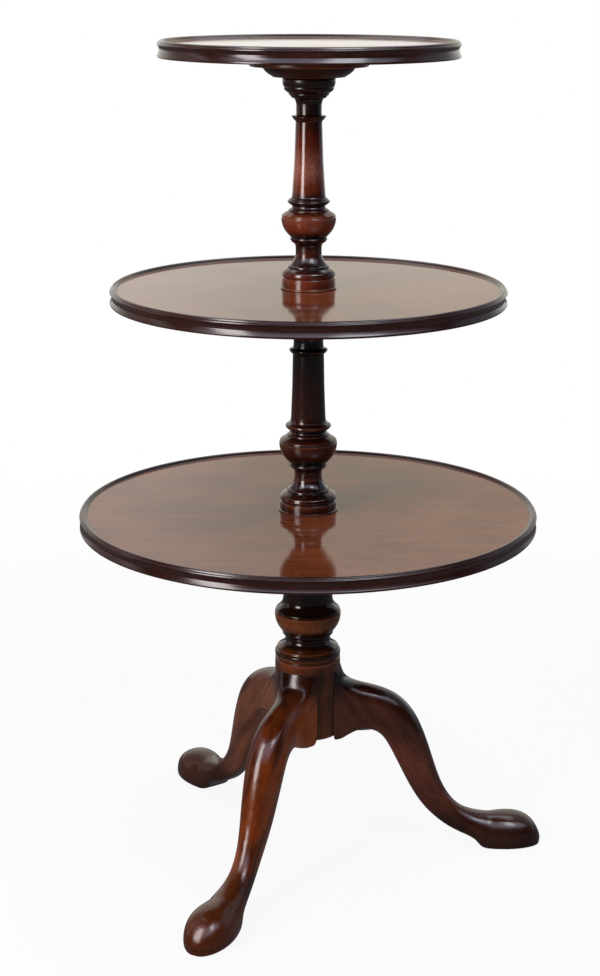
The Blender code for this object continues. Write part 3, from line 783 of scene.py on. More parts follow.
IRON = Metal(
    bright=(0.060, 0.056, 0.056, 1.0),
    dull=(0.045, 0.026, 0.018, 1.0),
    metallic=0.85,
    smooth=0.45,
    rough=0.80,
)


def stand(name: str, data: bpy.types.ID) -> bpy.types.Object:
    """Put an object in the scene.

    Args:
        name: its name.
        data: its mesh, lamp or camera.

    Returns:
        The object.
    """
    made = bpy.data.objects.new(name, data)
    bpy.context.scene.collection.objects.link(made)
    return made


def stand_mesh(name: str, bm: bmesh.types.BMesh) -> bpy.types.Object:
    """Put a mesh that was under work in the scene.

    Args:
        name: the object's name.
        bm: the mesh, freed here.

    Returns:
        The object.
    """
    mesh = bpy.data.meshes.new(name)
    bm.to_mesh(mesh)
    bm.free()
    return stand(name, mesh)


def add_piece(
    name: str,
    bm: bmesh.types.BMesh,
    material: bpy.types.Material,
    body: str,
    node: str,
) -> bpy.types.Object:
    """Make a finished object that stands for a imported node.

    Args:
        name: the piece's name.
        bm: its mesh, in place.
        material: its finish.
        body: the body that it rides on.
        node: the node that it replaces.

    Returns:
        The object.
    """
    made = stand_mesh(name, bm)
    made.data.shade_smooth()
    made.data.materials.append(material)
    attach(made, body)
    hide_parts(node)
    logging.info("%s stands for %s on %s", name, node, body)
    return made


@dataclass(frozen=True)
class Lathe:
    """Turns an outline into a closed solid with softened corners."""

    steps: int = 128
    curve_steps: int = 10
    curve_power: float = 2.0
    belly_power: float = 2.4
    soften: float = 0.00035
    soften_share: float = 0.30
    soften_segments: int = 3
    least_corner: float = math.radians(14)
    long_run: float = 0.012
    near_reach: float = 0.0035
    # How far painted shade reaches, from what hides a point close by and from its shelter
    recess_shade_reach: float = 0.004
    shelter_reach: float = 0.030
    shelter_share: float = 1.5
    wear_reach: float = 0.0012
    even_run: float = 0.0
    fan: tuple[int, int, int] = (-75, 76, 10)

    def outline_down(self, shares: Shares, radius: float, height: float, top: float) -> list[Point]:
        """Work out a turned outline from its top down.

        Args:
            shares: the outline's table.
            radius: the piece's radius.
            height: the turned height.
            top: the height of the outline's top.

        Returns:
            Points of radius and height.
        """
        points: list[Point] = []
        for kind, radius_share, drop_share in shares:
            end = (radius_share * radius, top - drop_share * height)
            steps = 1 if kind is LINE else self.curve_steps
            start = points[-1] if points else end
            for step in range(1, steps + 1):
                along = step / steps
                across = {
                    LINE: along,
                    DROP: along**self.curve_power,
                    SPREAD: 1 - (1 - along) ** self.curve_power,
                    BELLY: along**self.belly_power,
                }[kind]
                points.append(
                    (
                        start[0] + (end[0] - start[0]) * across,
                        start[1] + (end[1] - start[1]) * along,
                    )
                )
        return points

    def with_stays(self, outline: Sequence[Point], closed: bool) -> list[Point]:
        """Add points near the ends of long straight runs, so that shading stays flat there.

        Args:
            outline: the outline's points.
            closed: whether the last point joins the first.

        Returns:
            The outline with its added points.
        """
        stayed: list[Point] = []
        last = len(outline) if closed else len(outline) - 1
        for number in range(last):
            start = Vector(outline[number])
            end = Vector(outline[(number + 1) % len(outline)])
            stayed.append(tuple(start))
            run = (end - start).length
            if run > self.long_run:
                inner = run - 2 * self.near_reach
                gaps = math.ceil(inner / self.even_run) if self.even_run else 1
                for step in range(gaps + 1):
                    reach = self.near_reach + inner * step / gaps
                    stayed.append(tuple(start.lerp(end, reach / run)))
        if not closed:
            stayed.append(outline[-1])
        return stayed

    def soften_corners(
        self,
        bm: bmesh.types.BMesh,
        verts: list[bmesh.types.BMVert],
        closed: bool,
    ) -> None:
        """Round each corner of a wire outline, by less where its edges are short.

        Args:
            bm: the mesh that holds the outline.
            verts: the outline's vertices in order.
            closed: whether the last joins the first.
        """
        corners: list[tuple[bmesh.types.BMVert, float]] = []
        inner = range(len(verts)) if closed else range(1, len(verts) - 1)
        for number in inner:
            here = verts[number].co
            back = here - verts[number - 1].co
            ahead = verts[(number + 1) % len(verts)].co - here
            if back.angle(ahead) > self.least_corner:
                run = min(back.length, ahead.length)
                corners.append((verts[number], min(self.soften, self.soften_share * run)))
        for vert, offset in corners:
            bmesh.ops.bevel(
                bm,
                geom=[vert],
                offset=offset,
                offset_type="OFFSET",
                segments=self.soften_segments,
                profile=0.5,
                affect="VERTICES",
                material=-1,
            )

    def in_order(self, bm: bmesh.types.BMesh) -> list[bmesh.types.BMVert]:
        """Walk along a wire outline.

        Args:
            bm: the mesh that holds only the outline.

        Returns:
            Its vertices in order, from an open end if it has one.
        """
        bm.verts.ensure_lookup_table()
        ends = [vert for vert in bm.verts if len(vert.link_edges) == 1]
        here = max(ends, key=lambda vert: vert.co.z) if ends else bm.verts[0]
        walked = [here]
        edge = here.link_edges[0]
        while True:
            here = edge.other_vert(here)
            if here is walked[0]:
                return walked
            walked.append(here)
            onward = [other for other in here.link_edges if other is not edge]
            if not onward:
                return walked
            edge = onward[0]

    def mark_outline(self, bm: bmesh.types.BMesh, closed: bool, roof: Sequence[Point]) -> None:
        """Write how hidden and how exposed each point of an outline is on its vertices.

        Args:
            bm: the mesh that holds only the outline.
            closed: whether the outline is a loop.
            roof: points along the underside of what stands over the piece.
        """
        recess_layer, wear_layer, tone_layer = (bm.verts.layers.float.new(mark.value) for mark in Mark)
        walked = self.in_order(bm)
        points = np.array([(vert.co.x, vert.co.z) for vert in walked])
        following = np.roll(points, -1, axis=0)
        ahead = following - points
        if not closed:
            ahead[-1] = ahead[-2]
        area = float(np.sum(points[:, 0] * following[:, 1] - following[:, 0] * points[:, 1]))
        side = -1.0 if area < 0 else 1.0
        run = np.linalg.norm(ahead, axis=1)
        walls = (points, ahead)
        if roof:
            walls = (
                np.vstack((points, np.array(roof[:-1]))),
                np.vstack((ahead, np.diff(np.array(roof), axis=0))),
            )
        for number, vert in enumerate(walked):
            back = ahead[number - 1] if number or closed else ahead[number]
            way = back / max(np.linalg.norm(back), TINY) + ahead[number] / max(run[number], TINY)
            normal = np.array((side * way[1], -side * way[0]))
            normal /= max(np.linalg.norm(normal), TINY)
            hidden, sheltered = self.look_out(points[number] + normal * OFF_EDGE, normal, walls)
            # What hides a point close by gives painted shade in its recess; its shelter, also from
            # what stands over it, gives painted shade in its tone
            vert[recess_layer] = hidden
            vert[tone_layer] = min(1.0, self.shelter_share * sheltered)
            fore = points[self.reach(points, number, 1, closed)] - points[number]
            aft = points[number] - points[self.reach(points, number, -1, closed)]
            bend = math.atan2(aft[0] * fore[1] - aft[1] * fore[0], float(aft @ fore))
            vert[wear_layer] = min(1.0, max(0.0, side * bend))

    def look_out(
        self,
        place: np.ndarray,
        normal: np.ndarray,
        walls: tuple[np.ndarray, np.ndarray],
    ) -> Point:
        """Look out from a point of an outline in a fan, for what stands near it.

        Args:
            place: where to look from.
            normal: the middle of the fan.
            walls: the starts of the edges that can stand in the way, and the ways along them.

        Returns:
            How hidden the point is by what is close, and how sheltered by what is farther off.
        """
        starts, along = walls
        hidden = 0.0
        sheltered = 0.0
        weight = 0.0
        for turn in np.radians(np.arange(*self.fan)):
            share = math.cos(turn)
            across = math.sin(turn)
            ray = (normal[0] * share - normal[1] * across, normal[0] * across + normal[1] * share)
            cross = ray[0] * along[:, 1] - ray[1] * along[:, 0]
            cross = np.where(np.abs(cross) < PARALLEL, PARALLEL, cross)
            gap = starts - place
            along_ray = (gap[:, 0] * along[:, 1] - gap[:, 1] * along[:, 0]) / cross
            along_edge = (gap[:, 0] * ray[1] - gap[:, 1] * ray[0]) / cross
            hits = along_ray[(along_edge >= 0) & (along_edge <= 1) & (along_ray > FIRST_HIT)]
            weight += share
            if hits.size:
                hidden += share * math.exp(-float(hits.min()) / self.recess_shade_reach)
                sheltered += share * math.exp(-float(hits.min()) / self.shelter_reach)
        return hidden / weight, sheltered / weight

    def reach(self, points: np.ndarray, start: int, step: int, closed: bool) -> int:
        """Find the first point along an outline that is far enough to read its bend by.

        Args:
            points: the outline.
            start: where to start.
            step: 1 to go on and -1 to go back.
            closed: whether the outline is a loop.

        Returns:
            The point's number.
        """
        gone = 0.0
        here = start
        while gone < self.wear_reach:
            onward = here + step
            if closed:
                onward %= len(points)
            elif not 0 <= onward < len(points):
                break
            gone += float(np.linalg.norm(points[onward] - points[here]))
            here = onward
        return here

    def turn(
        self,
        outline: Sequence[Point],
        centre: Vector,
        closed: bool = False,
        roof: Sequence[Point] = (),
    ) -> bmesh.types.BMesh:
        """Turn an outline about an upright axis.

        Args:
            outline: points of radius and height.
            centre: where the axis meets the outline's zero height.
            closed: whether the outline is a loop round a bore. An open one ends on the axis.
            roof: points along the underside of what stands over the piece.

        Returns:
            The closed mesh, in place.
        """
        bm = bmesh.new()
        stayed = self.with_stays(outline, closed)
        verts = [bm.verts.new((radius, 0, height)) for radius, height in stayed]
        for first, second in zip(verts, verts[1:]):
            bm.edges.new((first, second))
        if closed:
            bm.edges.new((verts[-1], verts[0]))
        self.soften_corners(bm, verts, closed)
        self.mark_outline(bm, closed, roof)
        bmesh.ops.spin(
            bm,
            geom=bm.verts[:] + bm.edges[:],
            axis=(0, 0, 1),
            cent=(0, 0, 0),
            angle=2 * math.pi,
            steps=self.steps,
            use_merge=True,
        )
        bmesh.ops.remove_doubles(bm, verts=bm.verts, dist=MERGE)
        bmesh.ops.recalc_face_normals(bm, faces=bm.faces)
        bmesh.ops.translate(bm, vec=centre, verts=bm.verts)
        return bm


def band_tones(bm: bmesh.types.BMesh, tones: Sequence[Point], top: float, height: float) -> None:
    """Darken a turned piece in bands and give it painted sheen, over the painted shade of the shelter
    that its outline gives.

    Args:
        bm: the piece, in place.
        tones: its table of drops and tones.
        top: the height of the outline's top.
        height: the turned height.
    """
    tone_layer = bm.verts.layers.float[Mark.TONE.value]
    drops, levels = zip(*tones)
    for vert in bm.verts:
        level = float(np.interp((top - vert.co.z) / height, drops, levels))
        sheltered = vert[tone_layer]
        # Shelter's painted shade takes off some painted sheen and darkens the rest
        shaded = level + SHELTER_ON_SHEEN_SHARE * sheltered
        vert[tone_layer] = shaded if level < 0 else max(level, sheltered)


def roof_over(tier: str, foot: float) -> list[Point]:
    """Trace the underside of a tier for what stands under it.

    Args:
        tier: the tier's name.
        foot: the height that the outline counts from.

    Returns:
        Points of radius and height, from the axis out.
    """
    bearer_low, bearer_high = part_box(f"{tier}_bearer")
    tray_low, tray_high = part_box(f"{tier}_tray")
    radius = (bearer_high.x - bearer_low.x) / 2
    _, foot_share, _ = BEARER_SHARES[-1]
    return [
        (0.0, bearer_low.z - foot),
        (foot_share * radius, bearer_low.z - foot),
        (radius, bearer_high.z - foot),
        ((tray_high.x - tray_low.x) / 2, tray_low.z - foot),
    ]


def shade_flats(made: bpy.types.Object) -> None:
    """Keep broad faces flat where they meet softened corners."""
    made.modifiers.new("flats", "WEIGHTED_NORMAL").mode = "FACE_AREA"


@dataclass(frozen=True)
class Tier:
    """One tray with the bearer that carries it."""

    name: str
    radius: float
    bearer_radius: float
    foot: Vector
    bearer_foot: Vector
    bearer_height: float
    bored: bool
    board: float = 0.017
    dish: float = 0.004
    rim: float = 0.010
    stain_and_shade_rim_share: float = 1.02
    bore: float = BORE
    lathe: Lathe = Lathe(steps=176)
    bearer_lathe: Lathe = Lathe(steps=112)

    @classmethod
    def of(cls, name: str, bored: bool) -> "Tier":
        """Take a tier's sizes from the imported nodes.

        Args:
            name: the tier's name.
            bored: whether the pillar goes through its tray.

        Returns:
            The tier.
        """
        low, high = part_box(f"{name}_tray")
        under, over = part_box(f"{name}_bearer")
        middle = (low + high) / 2
        return cls(
            name=name,
            radius=(high.x - low.x) / 2,
            bearer_radius=(over.x - under.x) / 2,
            foot=Vector((middle.x, middle.y, low.z)),
            bearer_foot=Vector((middle.x, middle.y, under.z)),
            bearer_height=over.z - under.z,
            bored=bored,
        )

    def make_tray(self) -> bpy.types.Object:
        """Turn the dished tray.

        Returns:
            The tray.
        """
        height = self.board + self.dish
        middle = self.bore if self.bored else 0.0
        outline = [(middle, self.board), (self.radius - self.rim, self.board)]
        for inset_share, drop_share in RIM_SHARES:
            outline.append((self.radius - inset_share * self.rim, height - drop_share * height))
        outline.append((middle, 0.0))
        bm = self.lathe.turn(outline, self.foot, closed=self.bored)
        # The rim takes the full dark tone: partly staining, partly a painted dark-blue reflection
        tone_layer = bm.verts.layers.float[Mark.TONE.value]
        inner = self.radius - self.stain_and_shade_rim_share * self.rim
        for vert in bm.verts:
            vert[tone_layer] = 1.0 if (vert.co - self.foot).to_2d().length > inner else 0.0
        finish = TRAY_POLISH.material(f"{self.name}_tray_polish", self.foot)
        return self.add("tray", bm, finish)

    def make_bearer(self) -> bpy.types.Object:
        """Turn the bearer under the tray.

        Returns:
            The bearer.
        """
        radius, height = self.bearer_radius, self.bearer_height
        outline = self.bearer_lathe.outline_down(BEARER_SHARES, radius, height, height)
        outline += [(self.bore, 0.0), (self.bore, height)]
        roof = [(radius, height), (self.radius, height)]
        bm = self.bearer_lathe.turn(outline, self.bearer_foot, closed=True, roof=roof)
        finish = BEARER_POLISH.material(f"{self.name}_bearer_polish", self.bearer_foot)
        return self.add("bearer", bm, finish)

    def add(
        self,
        kind: str,
        bm: bmesh.types.BMesh,
        finish: bpy.types.Material,
    ) -> bpy.types.Object:
        """Make a finished object that stands for one of the tier's two wooden pieces.

        Args:
            kind: which of the two.
            bm: its mesh, in place.
            finish: its material.

        Returns:
            The object.
        """
        name = f"{self.name}_turned_{kind}"
        made = add_piece(name, bm, finish, f"{self.name}_tier", f"{self.name}_{kind}")
        shade_flats(made)
        return made


@dataclass(frozen=True)
class Pillar:
    """The base column and the two stems that screw into one another above it."""

    axis: Vector
    spigot: float = 0.013
    spigot_short: float = 0.0017
    bore: float = BORE
    socket: float = 0.030
    column_radius: float = COLUMN_RADIUS
    column_turned: float = 0.174
    upper_height: float = 0.2696
    lower_height: float = 0.2576
    lathe: Lathe = Lathe(steps=128, even_run=0.006)

    def socket_down(self, top: float) -> list[Point]:
        """Trace the socket in the top of a piece, from its bottom up to the top."""
        return [(0.0, top - self.socket), (self.bore, top - self.socket), (self.bore, top)]

    def make_stem(
        self,
        name: str,
        shares: Shares,
        tones: Sequence[Point],
        height: float,
        polish: Polish,
        socketed: bool,
        tier: str,
    ) -> bpy.types.Object:
        """Turn a stem with its lower spigot, and a socket or a spigot at its top.

        Args:
            name: the stem's node.
            shares: its outline.
            tones: its bands of tone.
            height: its height between the spigots.
            polish: its finish.
            socketed: whether its top is a socket.
            tier: the tier that stands on it.

        Returns:
            The stem.
        """
        low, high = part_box(name)
        radius = (high.x - low.x) / 2
        under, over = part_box("top_bearer")
        upper = 0.0 if socketed else over.z - under.z - self.spigot_short
        foot = high.z - low.z - height - upper
        head = foot + height
        outline = [(0.0, head + upper), (self.spigot, head + upper), (self.spigot, head)]
        if socketed:
            outline = self.socket_down(head)
        outline += self.lathe.outline_down(shares, radius, height, head)
        outline += [(self.spigot, foot), (self.spigot, 0.0), (0.0, 0.0)]
        centre = Vector((self.axis.x, self.axis.y, low.z))
        bm = self.lathe.turn(outline, centre, roof=roof_over(tier, low.z))
        band_tones(bm, tones, low.z + head, height)
        made = add_piece(f"{name}_turned", bm, polish.material(f"{name}_polish", centre), "base", name)
        shade_flats(made)
        return made

    def make_column(self) -> bpy.types.Object:
        """Turn the base column.

        Returns:
            The column.
        """
        low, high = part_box("base_column")
        radius = self.column_radius
        height = high.z - low.z
        outline = self.socket_down(height)
        outline += self.lathe.outline_down(COLUMN_SHARES, radius, self.column_turned, height)
        outline += [(radius, 0.0), (0.0, 0.0)]
        centre = Vector((self.axis.x, self.axis.y, low.z))
        bm = self.lathe.turn(outline, centre, roof=roof_over("bottom", low.z))
        band_tones(bm, COLUMN_TONES, high.z, self.column_turned)
        finish = COLUMN_POLISH.material("base_column_polish", centre)
        made = add_piece("base_column_turned", bm, finish, "base", "base_column")
        shade_flats(made)
        return made

    def build(self) -> None:
        """Make the whole pillar."""
        self.make_column()
        lower = (LOWER_STEM_SHARES, LOWER_STEM_TONES, self.lower_height, LOWER_STEM_POLISH)
        self.make_stem("lower_stem", *lower, socketed=True, tier="middle")
        upper = (UPPER_STEM_SHARES, UPPER_STEM_TONES, self.upper_height, UPPER_STEM_POLISH)
        self.make_stem("upper_stem", *upper, socketed=False, tier="top")


def cut_away(
    shape: bmesh.types.BMesh,
    cutters: Sequence[bmesh.types.BMesh],
    smoothing: int = 0,
) -> bmesh.types.BMesh:
    """Take shapes away from a shape.

    Args:
        shape: what is cut, freed here.
        cutters: what is taken away, freed here.
        smoothing: how many times the shape is subdivided before the cuts.

    Returns:
        What is left.
    """
    helpers = [
        stand_mesh(f"cutting_{number}", part) for number, part in enumerate((shape, *cutters))
    ]
    work = helpers[0]
    if smoothing:
        smooth = work.modifiers.new("smooth", "SUBSURF")
        smooth.levels = smoothing
        smooth.render_levels = smoothing
    for helper in helpers[1:]:
        cut = work.modifiers.new(helper.name, "BOOLEAN")
        cut.operation = "DIFFERENCE"
        cut.solver = "EXACT"
        cut.object = helper
    bpy.context.view_layer.update()
    left = bmesh.new()
    left.from_object(work, bpy.context.evaluated_depsgraph_get())
    for helper in helpers:
        mesh = helper.data
        bpy.data.objects.remove(helper)
        bpy.data.meshes.remove(mesh)
    bmesh.ops.remove_doubles(left, verts=left.verts, dist=MERGE)
    left.normal_update()
    return left


@dataclass(frozen=True)
class Leg:
    """One carved cabriole leg with a pad foot."""

    node: str
    azimuth: float
    axis: Vector
    polish: Polish
    column_radius: float = COLUMN_RADIUS
    reach: float = 0.287
    root_top: float = 0.280
    root_bottom: float = 0.1725
    half_width: float = 0.028
    plate_top: float = 0.1825
    plate_half: float = 0.0093
    plate_far: float = 0.086
    plate_rise: float = 0.0012
    pad_height: float = 0.0075
    sole_height: float = 0.0012
    bend_reach: float = 0.020
    seat_sides: int = 128
    smoothing: int = 2
    sharp: float = math.radians(42)
    # Painted shade on faces turned down
    under_share: float = 0.3
    # How much lighter a face gets where it faces up
    up_facing_share: float = 0.5
    # Tone by height: darker at the feet and at the root's top, at the root partly painted shade under
    # the bottom tray
    tones: tuple[tuple[float, ...], tuple[float, ...]] = (
        (0.00, 0.045, 0.07, 0.215, 0.24, 0.255, 0.28),
        (0.70, 0.60, 0.00, 0.00, 0.30, 0.75, 0.80),
    )

    def place_ring(self, ring: Sequence[bmesh.types.BMVert], station: Sequence[float]) -> None:
        """Move the vertices of a ring onto the leg's section at one station.

        Args:
            ring: the ring's vertices in order.
            station: the station's shares.
        """
        upper_reach, upper_height, lower_reach, lower_height, width, root, foot = station
        upper_x = self.column_radius + upper_reach * self.reach
        lower_x = self.column_radius + lower_reach * self.reach
        upper = Vector((upper_x, 0, upper_height * self.root_top))
        lower = Vector((lower_x, 0, lower_height * self.root_bottom))
        half = width * self.half_width
        last = len(SHANK_SHARES) - 1
        for number, vert in enumerate(ring):
            row = number if number <= last else 2 * last - number
            side = 1 if number <= last else -1
            shank, seat, pad = SHANK_SHARES[row], ROOT_SHARES[row], FOOT_SHARES[row]
            across = shank[0] * (1 - root - foot) + seat[0] * root + pad[0] * foot
            up = shank[1] * (1 - root - foot) + seat[1] * root + pad[1] * foot
            vert.co = lower.lerp(upper, up) + Vector((0, side * across * half, 0))
            out = (vert.co.x - self.column_radius) / self.bend_reach
            wrap = self.column_radius - math.sqrt(self.column_radius**2 - vert.co.y**2)
            vert.co.x -= wrap * min(1.0, max(0.0, 1 - out))

    def carve(self) -> bmesh.types.BMesh:
        """Shape the leg along +X from rings of vertices.

        Returns:
            The closed mesh.
        """
        bm = bmesh.new()
        rings = []
        for station in LEG_SHARES:
            sides = 2 * (len(SHANK_SHARES) - 1)
            ring = bmesh.ops.create_circle(bm, segments=sides, radius=self.half_width)["verts"]
            self.place_ring(ring, station)
            edges = {edge for vert in ring for edge in vert.link_edges}
            rings.append(list(edges))
        for near, far in zip(rings, rings[1:]):
            bmesh.ops.bridge_loops(bm, edges=near + far)
        bmesh.ops.contextual_create(bm, geom=rings[0])
        bmesh.ops.contextual_create(bm, geom=rings[-1])
        bmesh.ops.recalc_face_normals(bm, faces=bm.faces)
        return bm

    def cutters(self) -> list[bmesh.types.BMesh]:
        """Shape what is cut away for the column and for the plate's arm.

        Returns:
            The two cutters.
        """
        seat = bmesh.new()
        bmesh.ops.create_cone(
            seat,
            cap_ends=True,
            segments=self.seat_sides,
            radius1=self.column_radius + CLEARANCE,
            radius2=self.column_radius + CLEARANCE,
            depth=2 * self.root_top,
        )
        channel = bmesh.new()
        bmesh.ops.create_cube(channel, size=1.0)
        length = self.plate_far
        size = Vector((length, 2 * self.plate_half, self.plate_top))
        bmesh.ops.scale(channel, vec=size, verts=channel.verts)
        bmesh.ops.translate(channel, vec=(length / 2, 0, self.plate_top / 2), verts=channel.verts)
        for vert in channel.verts:
            if vert.co.z > self.plate_top / 2 and vert.co.x > length / 2:
                vert.co.z += self.plate_rise
        return [seat, channel]

    def mark_leg(self, bm: bmesh.types.BMesh) -> None:
        """Write how hidden and how exposed each point of the leg is on its vertices.

        Args:
            bm: the leg along +X.
        """
        recess_layer, wear_layer, tone_layer = (bm.verts.layers.float.new(mark.value) for mark in Mark)
        for vert in bm.verts:
            # Painted shade on faces turned down and on the sole
            under = max(0.0, -vert.normal.z) * self.under_share
            sole = 1.0 if vert.co.z < self.sole_height else 0.0
            vert[recess_layer] = min(1.0, under + sole)
            # Tone by height, at the root partly painted shade under the bottom tray
            vert[tone_layer] = float(np.interp(vert.co.z, *self.tones))
            # Lighter where the surface faces up
            vert[wear_layer] = self.up_facing_share * max(0.0, vert.normal.z)

    def build(self) -> bpy.types.Object:
        """Carve, fit and dress the leg.

        Returns:
            The leg.
        """
        fitted = cut_away(self.carve(), self.cutters(), self.smoothing)
        self.mark_leg(fitted)
        place = Matrix.Translation((self.axis.x, self.axis.y, 0))
        turn = place @ Matrix.Rotation(self.azimuth, 4, "Z")
        bmesh.ops.transform(fitted, matrix=turn, verts=fitted.verts)
        centre = turn @ Vector((self.reach / 2, 0, self.root_top / 2))
        joint = self.column_radius + CLEARANCE
        polish = replace(self.polish, joint_radius=joint, pad_line=self.pad_height)
        finish = polish.material(f"{self.node}_polish", centre, self.azimuth, self.axis)
        made = add_piece(f"{self.node}_carved", fitted, finish, "base", self.node)
        made.data.set_sharp_from_angle(angle=self.sharp)
        return made


@dataclass(frozen=True)
class Screws:
    """Slotted wood screws, heads down."""

    length: float = 0.020
    head: float = 0.0042
    slot_half: float = 0.0005
    slot_depth: float = 0.0008
    turn_per_metre: float = 29.0
    sharp: float = math.radians(35)
    lathe: Lathe = Lathe(steps=20, soften=0.0002)

    def make(self, node: str, body: str, finish: bpy.types.Material) -> bpy.types.Object:
        """Turn and slot one screw.

        Args:
            node: the node that it stands for.
            body: the body that it rides on.
            finish: its material.

        Returns:
            The screw.
        """
        low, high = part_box(node)
        outline = [(radius * self.head, height * self.length) for radius, height in SCREW_SHARES]
        middle = (low + high) / 2
        bm = self.lathe.turn(outline[::-1], Vector((middle.x, middle.y, low.z)))
        slot = bmesh.new()
        bmesh.ops.create_cube(slot, size=2.0)
        size = Vector((2 * self.head, self.slot_half, self.slot_depth))
        bmesh.ops.scale(slot, vec=size, verts=slot.verts)
        turn = Matrix.Rotation(middle.x * self.turn_per_metre, 4, "Z")
        place = Matrix.Translation((middle.x, middle.y, low.z)) @ turn
        bmesh.ops.transform(slot, matrix=place, verts=slot.verts)
        made = add_piece(f"{node}_turned", cut_away(bm, [slot]), finish, body, node)
        made.data.set_sharp_from_angle(angle=self.sharp)
        return made


@dataclass(frozen=True)
class Glow:
    """A soft stretch of the surroundings that only gloss sees, by its directions."""

    sides: Point
    heights: Point
    fade: float
    tint: Colour

    def span(self, figure: Figure, ends: Point) -> Figure:
        """Fade in and out at the ends of a span of degrees.

        Args:
            figure: an angle in radians.
            ends: where the span begins and ends.

        Returns:
            1 in the span and 0 outside it.
        """
        first, last = (math.radians(end) for end in ends)
        fade = math.radians(self.fade)
        return figure.rise(first - fade, first + fade) * (1 - figure.rise(last - fade, last + fade))

    def share(self, around: Figure, lift: Figure) -> Figure:
        """Work out how much of the glow is seen in a direction.

        Args:
            around: the direction's angle from the camera's side, with the right positive.
            lift: its angle above the horizon.

        Returns:
            The share, 0 to 1.
        """
        return self.span(around, self.sides) * self.span(lift, self.heights)


@dataclass(frozen=True)
class Softbox:
    """A lamp for matt surfaces, with a soft-edged panel in its place that only gloss sees."""

    name: str
    place: Vector
    aim: Vector
    size: Point
    watts: float
    tint: Colour
    glare: float = 0.0
    soft: float = 0.2

    def turned(self, axis: Vector) -> Matrix:
        """Turn and move what faces -Z to the softbox's place."""
        turn = (self.aim - self.place).to_track_quat("-Z", "Y").to_matrix().to_4x4()
        return Matrix.Translation(self.place + axis) @ turn

    def hang_lamp(self, axis: Vector) -> None:
        """Hang the lamp.

        Args:
            axis: where the pillar stands.
        """
        data = bpy.data.lights.new(self.name, "AREA")
        data.shape = "RECTANGLE"
        data.size, data.size_y = self.size
        data.energy = self.watts
        data.color = self.tint[:3]
        lamp = stand(self.name, data)
        lamp.matrix_world = self.turned(axis)
        lamp.visible_glossy = self.glare == 0

    def hang_panel(self, axis: Vector) -> None:
        """Hang the panel that gloss sees.

        Args:
            axis: where the pillar stands.
        """
        bm = bmesh.new()
        bm.loops.layers.uv.new("span")
        bmesh.ops.create_grid(bm, x_segments=1, y_segments=1, size=0.5, calc_uvs=True)
        bmesh.ops.scale(bm, vec=(*self.size, 1.0), verts=bm.verts)
        bmesh.ops.transform(bm, matrix=self.turned(axis), verts=bm.verts)
        panel = stand_mesh(f"{self.name}_panel", bm)
        made, bench = new_bench(panel.name)
        spread = bench.parts(bench.node("ShaderNodeTexCoord").outputs["UV"])
        share = None
        for part, side in zip(spread, self.size):
            off = (part - 0.5).maths("ABSOLUTE")
            inside = 1 - (off * 2.0).rise(1 - 2 * self.soft / side, 1.0)
            share = inside if share is None else share * inside
        clear = bench.node("ShaderNodeBsdfTransparent").outputs[0]
        sockets = {"Color": self.tint, "Strength": self.glare}
        bright = bench.node("ShaderNodeEmission", sockets).outputs[0]
        mixed = bench.node("ShaderNodeMixShader", {0: share, 1: clear, 2: bright})
        bench.finish(mixed.outputs[0])
        panel.data.materials.append(made)
        panel.visible_camera = False
        panel.visible_diffuse = False
        panel.visible_shadow = False


